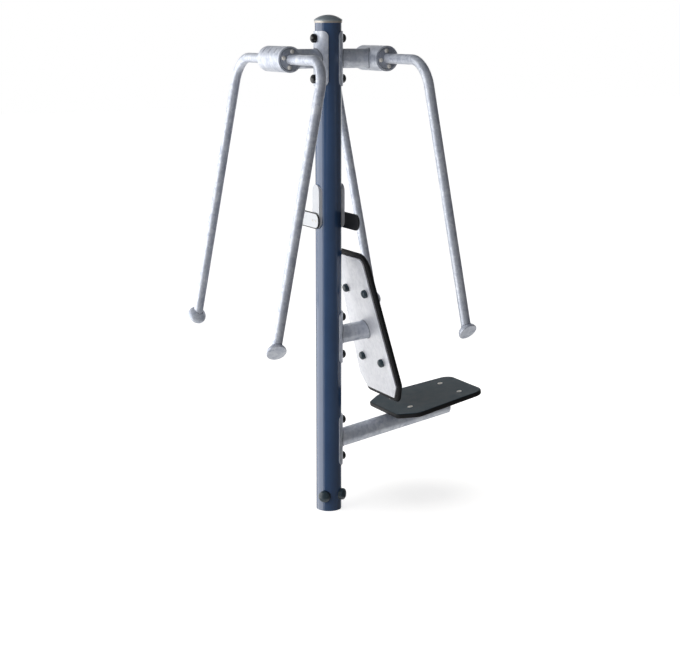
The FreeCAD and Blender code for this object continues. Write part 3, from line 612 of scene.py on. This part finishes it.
# %% Finishes on the nodes
def dress(piece, finish):
    piece.data.materials.clear()
    piece.data.materials.append(FINISHES[finish])


slot_of = {row["node"]: row["material_slot"] for row in frame["record"]["subparts"]}
for name, node in frame["nodes"].items():
    dress(node, slot_of[name])
# Painted light: the plate gets the paler, lit copy of the zinc.
dress(frame["nodes"]["back_plate"], "plate_zinc")
for station in STATIONS:
    dress(frame["nodes"][station + "_arm_flanges"], "flange_zinc")
print("dressed %d nodes" % len(slot_of))

# %% [markdown]
# ## Skins through rings
# The pad, the sign films and the bolt heads are all closed skins: rings of points, joined in order, with
# the first and the last ring filled. An outline is a polygon with rounded corners, taken at even steps so
# that the faces are alike all round.

# %% Outlines
ARC_STEPS = 24


def evenly(line, count):
    """Points at even steps along a closed line."""
    spans = list(zip(line, line[1:] + line[:1]))
    total = sum((b - a).length for a, b in spans)
    points = []
    walked = 0.0
    for a, b in spans:
        length = (b - a).length
        while len(points) < count and len(points) * total / count < walked + length:
            points.append(a.lerp(b, (len(points) * total / count - walked) / length))
        walked += length
    return points


def rounded_outline(corners, radii, count):
    """Evenly spaced points round a polygon whose corners are arcs, in two dimensions."""
    corners = [Vector(corner) for corner in corners]
    line = []
    for i, (corner, radius) in enumerate(zip(corners, radii)):
        back = (corners[i - 1] - corner).normalized()
        on = (corners[(i + 1) % len(corners)] - corner).normalized()
        half = back.angle(on) / 2
        middle = corner + (back + on).normalized() * (radius / math.sin(half))
        first = corner + back * (radius / math.tan(half)) - middle
        last = corner + on * (radius / math.tan(half)) - middle
        turn = first.angle_signed(last)
        for k in range(ARC_STEPS + 1):
            line.append(middle + Matrix.Rotation(-turn * k / ARC_STEPS, 2) @ first)
    return evenly(line, count)


print("outline helpers ready, with %d steps to a corner" % ARC_STEPS)


# %% Rings
def drawn_in(outline, inset):
    """The outline moved inwards, square to itself."""
    moved = []
    for i, point in enumerate(outline):
        along = outline[(i + 1) % len(outline)] - outline[i - 1]
        moved.append(point + Vector((-along.y, along.x)).normalized() * inset)
    return moved


def raised(outline, inset, height):
    """A ring: the outline drawn in by inset and lifted to a height."""
    return [point.to_3d() + Vector((0, 0, height)) for point in drawn_in(outline, inset)]


def quarter_turn(steps):
    """Angles from nought to a right angle, both among them."""
    return [k / steps * math.pi / 2 for k in range(steps + 1)]


print("ring helpers ready")

# %% Skins
SHARP_EDGE = math.radians(38)


def skin(name, rings):
    """A closed mesh through rings of points, filled to the middle of the first and the last ring."""
    build = bmesh.new()
    rows = [[build.verts.new(point) for point in ring] for ring in rings]
    count = len(rows[0])
    for lower, upper in zip(rows, rows[1:]):
        for i in range(count):
            after = (i + 1) % count
            build.faces.new((lower[i], lower[after], upper[after], upper[i]))
    for row in (rows[0], rows[-1]):
        middle = build.verts.new(sum((vert.co for vert in row), Vector()) / count)
        for i in range(count):
            build.faces.new((row[i], row[(i + 1) % count], middle))
    bmesh.ops.recalc_face_normals(build, faces=build.faces)
    mesh = bpy.data.meshes.new(name)
    build.to_mesh(mesh)
    build.free()
    mesh.shade_smooth()
    mesh.set_sharp_from_angle(angle=SHARP_EDGE)
    return mesh


def new_piece(name, mesh, body):
    """An object for a finished mesh, riding on a body."""
    piece = bpy.data.objects.new(name, mesh)
    scene.collection.objects.link(piece)
    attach(piece, body)
    print("%s: %d faces on %s" % (name, len(mesh.polygons), body))
    return piece


print("skin helpers ready, with edges sharp from %.0f degrees" % math.degrees(SHARP_EDGE))

# %% [markdown]
# ## The back pad
# The back rest is a board of soft foam with a tough moulded skin, screwed to the steel plate behind it. It
# is no sewn cushion, so no cloth is simulated: the skin is pulled tight by the foam. Its rim is round like
# a D, its back is flat on the plate, and its front swells a little towards the middle. The shape is built
# in the leaning frame of the plate: across, up the plate, and out of its front.

# %% Back pad
BACK_CENTRE = Vector((179, 0, 829)) * MM
BACK_LEAN = math.radians(14.8)
PAD_BACK = 6 * MM
PAD_RIM = 29 * MM
PAD_CROWN = 3 * MM
PAD_BACK_ROUND = 9 * MM
PAD_FRONT_ROUND = 14 * MM
PAD_CORNERS_MM = ((-148, 349), (-191, -269), (-138, -354), (138, -354), (191, -269), (148, 349))
PAD_RADII_MM = (72, 34, 34, 34, 34, 72)
PAD_POINTS = 240
ROUND_STEPS = 8
CROWN_SHARES = (0.93, 0.85, 0.75, 0.63, 0.5, 0.36, 0.2, 0.07)


def leaning_frame(centre, lean):
    """Across, up and out of a plate that faces +X and leans back."""
    across = Vector((0, 1, 0))
    up = Vector((-math.sin(lean), 0, math.cos(lean)))
    out = Vector((math.cos(lean), 0, math.sin(lean)))
    return Matrix.Translation(centre) @ Matrix((across, up, out)).transposed().to_4x4()


def pad_rings():
    """Rings from the back of the pad, round its rim and over its crown to the middle of its front."""
    corners = [Vector(corner) * MM for corner in PAD_CORNERS_MM]
    outline = rounded_outline(corners, [radius * MM for radius in PAD_RADII_MM], PAD_POINTS)
    rings = []
    for angle in quarter_turn(ROUND_STEPS):
        height = PAD_BACK + PAD_BACK_ROUND * (1 - math.cos(angle))
        rings.append(raised(outline, PAD_BACK_ROUND * (1 - math.sin(angle)), height))
    for angle in quarter_turn(ROUND_STEPS):
        height = PAD_RIM - PAD_FRONT_ROUND * (1 - math.sin(angle))
        rings.append(raised(outline, PAD_FRONT_ROUND * (1 - math.cos(angle)), height))
    rim = drawn_in(outline, PAD_FRONT_ROUND)
    middle = sum(rim, Vector((0, 0))) / len(rim)
    for share in CROWN_SHARES:
        swell = Vector((0, 0, PAD_RIM + PAD_CROWN * (1 - share ** 2)))
        rings.append([(middle + (point - middle) * share).to_3d() + swell for point in rim])
    return rings


pad_mesh = skin("back_pad_skin", pad_rings())
pad_mesh.transform(leaning_frame(BACK_CENTRE, BACK_LEAN))
pad_mesh.materials.append(FINISHES["pad_black"])
pad = new_piece("back_pad_skin", pad_mesh, "frame")
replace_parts(pad, "back_pad")

# %% [markdown]
# ## The sign films
# Each sign is a black board with a light film on its front, a little smaller than the board, so that a
# narrow black rim is left all round. The film is bare. It is a thin skin with the same round ends as the
# board, worked out once for the seat side and turned half round for the other.

# %% Sign films
SIGN_FACE_X = 68.5 * MM
SIGN_MIDDLE = Vector((0, -61.5, 1314)) * MM
SIGN_HALF = Vector((101.5, 35)) * MM
SIGN_RIM = 4.5 * MM
SIGN_CORNER = 33 * MM
FILM_THICK = 0.6 * MM
FILM_WALL_SHARE = 0.6
FILM_BEVEL_SHARE = 0.4
FILM_FLAT_SHARE = 0.4
FILM_POINTS = 160
HALF_TURN = Matrix.Rotation(math.pi, 4, "Z")


def film_mesh(name):
    """The film of the seat side: an upright wall, a bevel, and a flat front that is filled to its middle."""
    half = SIGN_HALF - Vector((SIGN_RIM, SIGN_RIM))
    corners = [(-half.x, half.y), (-half.x, -half.y), (half.x, -half.y), (half.x, half.y)]
    outline = rounded_outline(corners, [SIGN_CORNER - SIGN_RIM] * len(corners), FILM_POINTS)
    rings = [
        raised(outline, 0.0, 0.0),
        raised(outline, 0.0, FILM_THICK * FILM_WALL_SHARE),
        raised(outline, FILM_THICK * FILM_BEVEL_SHARE, FILM_THICK),
        raised(outline, half.y * FILM_FLAT_SHARE, FILM_THICK),
    ]
    mesh = skin(name, rings)
    mesh.transform(leaning_frame(SIGN_MIDDLE + Vector((SIGN_FACE_X, 0, 0)), 0.0))
    mesh.materials.append(FINISHES["sign_film"])
    return mesh


for station in STATIONS:
    film = film_mesh(station + "_sign_film")
    if station == "open_side":
        film.transform(HALF_TURN)
    new_piece(station + "_sign_film", film, "frame")

# %% [markdown]
# ## Geometry Nodes in short form
# Welds follow a path and bolts repeat, so both are made by node trees. A tree gets named inputs for its
# sizes, and ends by making its copies real and giving them a material. The result is then turned into a
# plain mesh, and the object that carried the tree is deleted.


# %% Helpers for geometry trees
def new_tree(name, inputs):
    """A geometry tree with the given inputs, by name and kind, and the sockets that bring them in."""
    tree = bpy.data.node_groups.new(name, "GeometryNodeTree")
    tree.interface.new_socket("Geometry", in_out="INPUT", socket_type="NodeSocketGeometry")
    for label, kind in inputs.items():
        tree.interface.new_socket(label, in_out="INPUT", socket_type="NodeSocket" + kind)
    tree.interface.new_socket("Geometry", in_out="OUTPUT", socket_type="NodeSocketGeometry")
    return tree, tree.nodes.new("NodeGroupInput").outputs


def end_tree(tree, geometry, material):
    """Make the copies real, give them their material and end the tree."""
    whole = add(tree, "GeometryNodeRealizeInstances", Geometry=geometry)
    dressed = add(tree, "GeometryNodeSetMaterial", Geometry=whole.outputs["Geometry"], Material=material)
    output = tree.nodes.new("NodeGroupOutput")
    tree.links.new(dressed.outputs["Geometry"], output.inputs["Geometry"])


def named(tree, kind, name):
    """A value that each point of the mesh carries under a name."""
    return add(tree, "GeometryNodeInputNamedAttribute", {"data_type": kind}, Name=name).outputs["Attribute"]


def grown(name, seed_mesh, tree, settings):
    """The plain mesh that a tree makes from a mesh of points or edges."""
    carrier = bpy.data.objects.new(name, seed_mesh)
    scene.collection.objects.link(carrier)
    modifier = carrier.modifiers.new(tree.name, "NODES")
    modifier.node_group = tree
    for item in tree.interface.items_tree:
        if item.in_out == "INPUT" and item.name in settings:
            modifier[item.identifier] = settings[item.name]
    bpy.context.view_layer.update()
    evaluated = carrier.evaluated_get(bpy.context.evaluated_depsgraph_get())
    mesh = bpy.data.meshes.new_from_object(evaluated)
    bpy.data.objects.remove(carrier)
    mesh.name = name
    return mesh


print("geometry helpers ready")

# %% [markdown]
# ## Weld beads
# Every tube is welded where it meets another piece. The seam of two round tubes is a saddle-shaped loop,
# which follows from the radii, so each loop is worked out by a formula and kept as a ring of edges. The tree
# turns the ring into a curve, takes it at even steps, and sweeps a small circle along it whose size ripples
# once for every drop of the weld.

# %% Weld tree
BEAD_RADIUS = 3.2 * MM
RIPPLE_PITCH = 5.0 * MM
RIPPLE_DEPTH = 0.10
STEPS_PER_RIPPLE = 5
BEAD_SIDES = 8


def weld_tree():
    inputs = dict.fromkeys(("Bead radius", "Ripple pitch", "Ripple depth"), "Float")
    inputs["Material"] = "Material"
    tree, given = new_tree("weld_beads", inputs)
    path = add(tree, "GeometryNodeMeshToCurve", Mesh=given["Geometry"]).outputs["Curve"]
    step = maths(tree, "DIVIDE", given["Ripple pitch"], STEPS_PER_RIPPLE)
    even = add(tree, "GeometryNodeResampleCurve", {"mode": "LENGTH"}, Curve=path, Length=step)
    along = add(tree, "GeometryNodeSplineParameter").outputs["Length"]
    drops = maths(tree, "DIVIDE", along, given["Ripple pitch"])
    wave = maths(tree, "SINE", maths(tree, "MULTIPLY", drops, 2 * math.pi), 0.0)
    ripple = maths(tree, "ADD", maths(tree, "MULTIPLY", wave, given["Ripple depth"]), 1.0)
    size = maths(tree, "MULTIPLY", ripple, named(tree, "FLOAT", "size"))
    circle = add(tree, "GeometryNodeCurvePrimitiveCircle", Resolution=BEAD_SIDES, Radius=given["Bead radius"])
    bead = add(
        tree, "GeometryNodeCurveToMesh",
        Curve=even.outputs["Curve"], Profile_Curve=circle.outputs["Curve"], Scale=size,
    )
    smooth = add(tree, "GeometryNodeSetShadeSmooth", Geometry=bead.outputs["Mesh"])
    end_tree(tree, smooth.outputs["Geometry"], given["Material"])
    return tree


WELDS = weld_tree()
print("weld tree with %d nodes" % len(WELDS.nodes))

# %% [markdown]
# The seams of the frame: each stub tube on its saddle and its housing, the back tube on its saddle and on
# the plate, and the seat tube on its saddle. A tube's seam is found by walking round the tube and asking
# how far along its axis the other surface lies.

# %% Seams of the frame
SEAM_POINTS = 120
BRACKET_TUBE = 41.25 * MM
SADDLE_OUTSIDE = 63.15 * MM
HOUSING_OUTSIDE = 54 * MM
PIVOT = Vector((228.5, 0, 2006)) * MM
STUB_ROOT = Vector((0, 0, PIVOT.z))
BACK_TUBE_ROOT = Vector((0, 0, 793)) * MM
BACK_TUBE_RISE = math.radians(5.3)
SEAT_TUBE_ROOT = Vector((63.15, 0, 322)) * MM


def tube_seam(root, rise, how_far):
    """A loop round a tube that rises from root along +X, as far along as how_far says for each point."""
    along = Vector((math.cos(rise), 0, math.sin(rise)))
    over = Vector((-math.sin(rise), 0, math.cos(rise)))
    loop = []
    for i in range(SEAM_POINTS):
        angle = 2 * math.pi * i / SEAM_POINTS
        point = root + BRACKET_TUBE * (math.cos(angle) * Vector((0, 1, 0)) + math.sin(angle) * over)
        loop.append(point + along * how_far(point, along))
    return loop


def to_saddle(point, along):
    return (math.sqrt(SADDLE_OUTSIDE ** 2 - point.y ** 2) - point.x) / along.x


def to_housing(point, along):
    """The stub tube is level, so the way to the housing is the way in X."""
    return PIVOT.x - math.sqrt(HOUSING_OUTSIDE ** 2 - (point.z - PIVOT.z) ** 2) - point.x


def to_back_plate(point, along):
    out = Vector((math.cos(BACK_LEAN), 0, math.sin(BACK_LEAN)))
    return (BACK_CENTRE - point).dot(out) / along.dot(out)


stub_seams = [tube_seam(STUB_ROOT, 0.0, to_saddle), tube_seam(STUB_ROOT, 0.0, to_housing)]
frame_seams = stub_seams + [[HALF_TURN @ point for point in loop] for loop in stub_seams]
frame_seams.append(tube_seam(BACK_TUBE_ROOT, BACK_TUBE_RISE, to_saddle))
frame_seams.append(tube_seam(BACK_TUBE_ROOT, BACK_TUBE_RISE, to_back_plate))
frame_seams.append(tube_seam(SEAT_TUBE_ROOT, SEAT_TUBE_RISE, to_saddle))
print("%d seams on the frame" % len(frame_seams))

# %% [markdown]
# The seams of a pair of arms: a circle where each arm stands on its flange, and a tilted loop where each
# leg stands on the domed back of its knob. They are worked out in the frame of the press, whose origin is
# the pivot and whose legs hang along -Z, and then turned to the arms' lean at rest.

# %% Seams of the press arms
ARM_TUBE = 21.2 * MM
FLANGE_FACE_Y = 111 * MM
LEG_Y = 427 * MM
KNOB_FACE = Vector((0, 438, -1176)) * MM
KNOB_TILT = math.radians(52)
KNOB_RADIUS = 42 * MM
KNOB_RIM = 4 * MM
KNOB_DOME = 30 * MM
REST_LEAN = math.radians(11)


def press_frame(station):
    """From the frame of a pair of arms to the machine's frame."""
    placed = Matrix.Translation(PIVOT) @ Matrix.Rotation(-REST_LEAN, 4, "Y")
    return HALF_TURN @ placed if station == "open_side" else placed


def to_knob(x, y):
    """The height at which an upright line at x and y meets the domed back of the knob."""
    in_knob = Matrix.Rotation(-KNOB_TILT, 3, "X")
    ball = Matrix.Diagonal((1 / KNOB_RADIUS, 1 / KNOB_RADIUS, 1 / KNOB_DOME)) @ in_knob
    start = ball @ (Vector((x, y, 0)) - KNOB_FACE) - Vector((0, 0, KNOB_RIM / KNOB_DOME))
    step = ball @ Vector((0, 0, 1))
    half = start.dot(step) / step.dot(step)
    return math.sqrt(half ** 2 - (start.dot(start) - 1) / step.dot(step)) - half


def press_seams(station):
    loops = []
    for side in BOTH_SIDES:
        flange_loop = []
        knob_loop = []
        for i in range(SEAM_POINTS):
            angle = 2 * math.pi * i / SEAM_POINTS
            forth = ARM_TUBE * math.cos(angle)
            sideways = ARM_TUBE * math.sin(angle)
            flange_loop.append(Vector((forth, side * FLANGE_FACE_Y, sideways)))
            level = to_knob(forth, LEG_Y + side * sideways)
            knob_loop.append(Vector((forth, side * LEG_Y + sideways, level)))
        loops += [flange_loop, knob_loop]
    return [[press_frame(station) @ point for point in loop] for loop in loops]


arm_seams = {station: press_seams(station) for station in STATIONS}
print("seams on the arms:", {station: len(loops) for station, loops in arm_seams.items()})

# %% [markdown]
# The beads: a mesh of loops goes through the tree, once for each body. The beads on the thin arms are
# smaller than those on the brackets.

# %% Weld meshes
FRAME_BEAD_SHARE = 1.0
ARM_BEAD_SHARE = 0.62


def seam_mesh(name, loops, size):
    """Rings of edges whose points carry the size of the bead."""
    mesh = bpy.data.meshes.new(name)
    points = [point for loop in loops for point in loop]
    edges = []
    for first in range(0, len(points), SEAM_POINTS):
        edges += [(first + i, first + (i + 1) % SEAM_POINTS) for i in range(SEAM_POINTS)]
    mesh.from_pydata(points, edges, [])
    mesh.attributes.new("size", "FLOAT", "POINT").data.foreach_set("value", [size] * len(points))
    return mesh


def weld(name, body, loops, size):
    settings = {"Bead radius": BEAD_RADIUS, "Ripple pitch": RIPPLE_PITCH, "Ripple depth": RIPPLE_DEPTH}
    settings["Material"] = FINISHES["weld_zinc"]
    mesh = grown(name, seam_mesh(name, loops, size), WELDS, settings)
    new_piece(name, mesh, body)


weld("frame_welds", "frame", frame_seams, FRAME_BEAD_SHARE)
for station in STATIONS:
    weld(station + "_arm_welds", station + "_press", arm_seams[station], ARM_BEAD_SHARE)

# %% [markdown]
# ## Bolt heads
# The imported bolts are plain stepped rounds. Here they get the heads that a fitter would know: domed hexagon
# heads on the flanges, and low button heads with a hexagon socket on the seat and the signs. One head of
# each kind is a skin, and a tree sets a copy on every spot, facing as the spot says and turned by chance,
# since no two bolts stop at the same angle.

# %% Rings of a head
HEAD_POINTS = 48


def hexagon(across_flats):
    """The distance from the middle of a hexagon to its side, as a function of the angle."""
    sector = math.pi / 3
    return lambda angle: across_flats / 2 / math.cos((angle + sector / 2) % sector - sector / 2)


def head_ring(radius, height):
    """Points round the Z axis, with a radius and a height that are functions of the angle or numbers."""
    points = []
    for i in range(HEAD_POINTS):
        angle = 2 * math.pi * i / HEAD_POINTS
        out = radius(angle) if callable(radius) else radius
        up = height(angle) if callable(height) else height
        points.append(Vector((out * math.cos(angle), out * math.sin(angle), up)))
    return points


print("heads have %d points round" % HEAD_POINTS)

# %% Hexagon head
DOME_STEPS = 6
CROWN_SHARE = 0.47
SHOULDER_SHARE = 0.5
FOOT_SHARE = 0.06
CORNER_FALL = math.tan(math.radians(30))


def hexagon_head(name, across_flats, height):
    """A hexagon on a round foot, with its corners cut down and a dome on top."""
    side = hexagon(across_flats)
    crown = CROWN_SHARE * across_flats
    shoulder = SHOULDER_SHARE * height
    rings = [
        head_ring(crown, 0.0),
        head_ring(crown, FOOT_SHARE * height),
        head_ring(side, FOOT_SHARE * height),
        head_ring(side, lambda angle: shoulder - (side(angle) - crown) * CORNER_FALL),
    ]
    for angle in quarter_turn(DOME_STEPS)[:-1]:
        rings.append(head_ring(crown * math.cos(angle), shoulder + (height - shoulder) * math.sin(angle)))
    return skin(name, rings)


flange_head = hexagon_head("flange_head", across_flats=17 * MM, height=6.5 * MM)
print("hexagon head with %d faces" % len(flange_head.polygons))

# %% Button heads
BUTTON_STEPS = 5
BUTTON_DRAW_IN = 0.45
SOCKET_DEPTH_SHARE = 0.55


def button_head(name, radius, skirt, crown, socket, shank_radius, shank_length):
    """A low round head: skirt is its depth below the spot, crown its height above it."""
    hollow = hexagon(socket)
    rings = [
        head_ring(shank_radius, -shank_length),
        head_ring(shank_radius, -skirt),
        head_ring(radius, -skirt),
    ]
    for angle in quarter_turn(BUTTON_STEPS)[:-1]:
        inset = BUTTON_DRAW_IN * radius * (1 - math.cos(angle))
        rings.append(head_ring(radius - inset, crown * math.sin(angle)))
    rings += [head_ring(hollow, crown), head_ring(hollow, crown - SOCKET_DEPTH_SHARE * socket)]
    return skin(name, rings)


seat_head = button_head(
    "seat_head", radius=12 * MM, skirt=5 * MM, crown=1.2 * MM,
    socket=8 * MM, shank_radius=5 * MM, shank_length=44 * MM,
)
screw_head = button_head(
    "screw_head", radius=6 * MM, skirt=0.1 * MM, crown=2.9 * MM,
    socket=4 * MM, shank_radius=3 * MM, shank_length=5.8 * MM,
)
print("button heads with %d and %d faces" % (len(seat_head.polygons), len(screw_head.polygons)))

# %% [markdown]
# The tree aims each copy's Z axis along the way that its spot faces, then spins it about that axis by a
# chance angle of up to a sixth of a turn, after which a hexagon repeats.

# %% Fastener tree
FASTENER_SEED = 7
SIXTH_TURN = math.pi / 3
# A Random Value node has sockets for each kind of value. These are the places of its plain numbers.
CHANCE_MOST = 3
CHANCE_RESULT = 1


def fastener_tree():
    tree, given = new_tree("fasteners", {"Head": "Object", "Seed": "Int", "Material": "Material"})
    head = add(tree, "GeometryNodeObjectInfo", Object=given["Head"])
    facing = named(tree, "FLOAT_VECTOR", "facing")
    aim = add(tree, "FunctionNodeAlignRotationToVector", {"axis": "Z"}, Vector=facing)
    chance = add(tree, "FunctionNodeRandomValue", {"data_type": "FLOAT"}, Seed=given["Seed"])
    feed(tree, SIXTH_TURN, chance.inputs[CHANCE_MOST])
    spin = add(
        tree, "FunctionNodeAxisAngleToRotation",
        Axis=(0, 0, 1), Angle=chance.outputs[CHANCE_RESULT],
    )
    turn = add(
        tree, "FunctionNodeRotateRotation", {"rotation_space": "LOCAL"},
        Rotation=aim.outputs["Rotation"], Rotate_By=spin.outputs["Rotation"],
    )
    placed = add(
        tree, "GeometryNodeInstanceOnPoints",
        Points=given["Geometry"], Instance=head.outputs["Geometry"], Rotation=turn.outputs["Rotation"],
    )
    end_tree(tree, placed.outputs["Instances"], given["Material"])
    return tree


def fasten(name, body, nodes, head_mesh, spots):
    """Copies of a head on spots, each a place and the way it faces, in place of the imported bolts."""
    mesh = bpy.data.meshes.new(name)
    mesh.from_pydata([place for place, facing in spots], [], [])
    facings = [part for place, facing in spots for part in facing]
    mesh.attributes.new("facing", "FLOAT_VECTOR", "POINT").data.foreach_set("vector", facings)
    head = bpy.data.objects.new(name + "_head", head_mesh)
    scene.collection.objects.link(head)
    settings = {"Head": head, "Seed": FASTENER_SEED, "Material": FINISHES["stainless"]}
    bolts = grown(name, mesh, FASTENERS, settings)
    bpy.data.objects.remove(head)
    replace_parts(new_piece(name, bolts, body), *nodes)


FASTENERS = fastener_tree()
print("fastener tree with %d nodes" % len(FASTENERS.nodes))

# %% [markdown]
# The spots: four bolts round each flange, which swing with the arms, four bolts on the seat, and two screws
# through each sign.

# %% Flange bolts
FLANGE_BOLTS = 4
FLANGE_BOLT_CIRCLE = 33 * MM


def flange_spots(placed):
    """The spots of the bolts on both flanges of a pair of arms."""
    spots = []
    for side in BOTH_SIDES:
        facing = placed.to_3x3() @ Vector((0, side, 0))
        for bolt in range(FLANGE_BOLTS):
            angle = bolt * 2 * math.pi / FLANGE_BOLTS
            out = Vector((math.cos(angle), 0, math.sin(angle))) * FLANGE_BOLT_CIRCLE
            spots.append((placed @ (out + Vector((0, side * FLANGE_FACE_Y, 0))), facing))
    return spots


for station in STATIONS:
    spots = flange_spots(press_frame(station))
    bolts = [station + "_flange_bolts"]
    fasten(station + "_flange_bolt_heads", station + "_press", bolts, flange_head, spots)

# %% Seat bolts
SEAT_TOP = 75.25 * MM
SEAT_BOLT_ALONG = (324 * MM, 587 * MM)
SEAT_BOLT_ASIDE = 86 * MM

seat_frame = Matrix.Translation(SEAT_TUBE_ROOT) @ Matrix.Rotation(-SEAT_TUBE_RISE, 4, "Y")
seat_facing = seat_frame.to_3x3() @ Vector((0, 0, 1))
seat_spots = []
for along in SEAT_BOLT_ALONG:
    for side in BOTH_SIDES:
        place = seat_frame @ Vector((along, side * SEAT_BOLT_ASIDE, SEAT_TOP))
        seat_spots.append((place, seat_facing))
fasten("seat_bolt_heads", "frame", ["seat_bolts"], seat_head, seat_spots)

# %% Sign screws
SIGN_SCREW_ASIDE = 15 * MM

screw_spots = []
for way in BOTH_SIDES:
    for side in BOTH_SIDES:
        place = Vector((way * SIGN_FACE_X, side * SIGN_SCREW_ASIDE, SIGN_MIDDLE.z))
        screw_spots.append((place, Vector((way, 0, 0))))
fasten("sign_screw_heads", "frame", ["sign_screws"], screw_head, screw_spots)
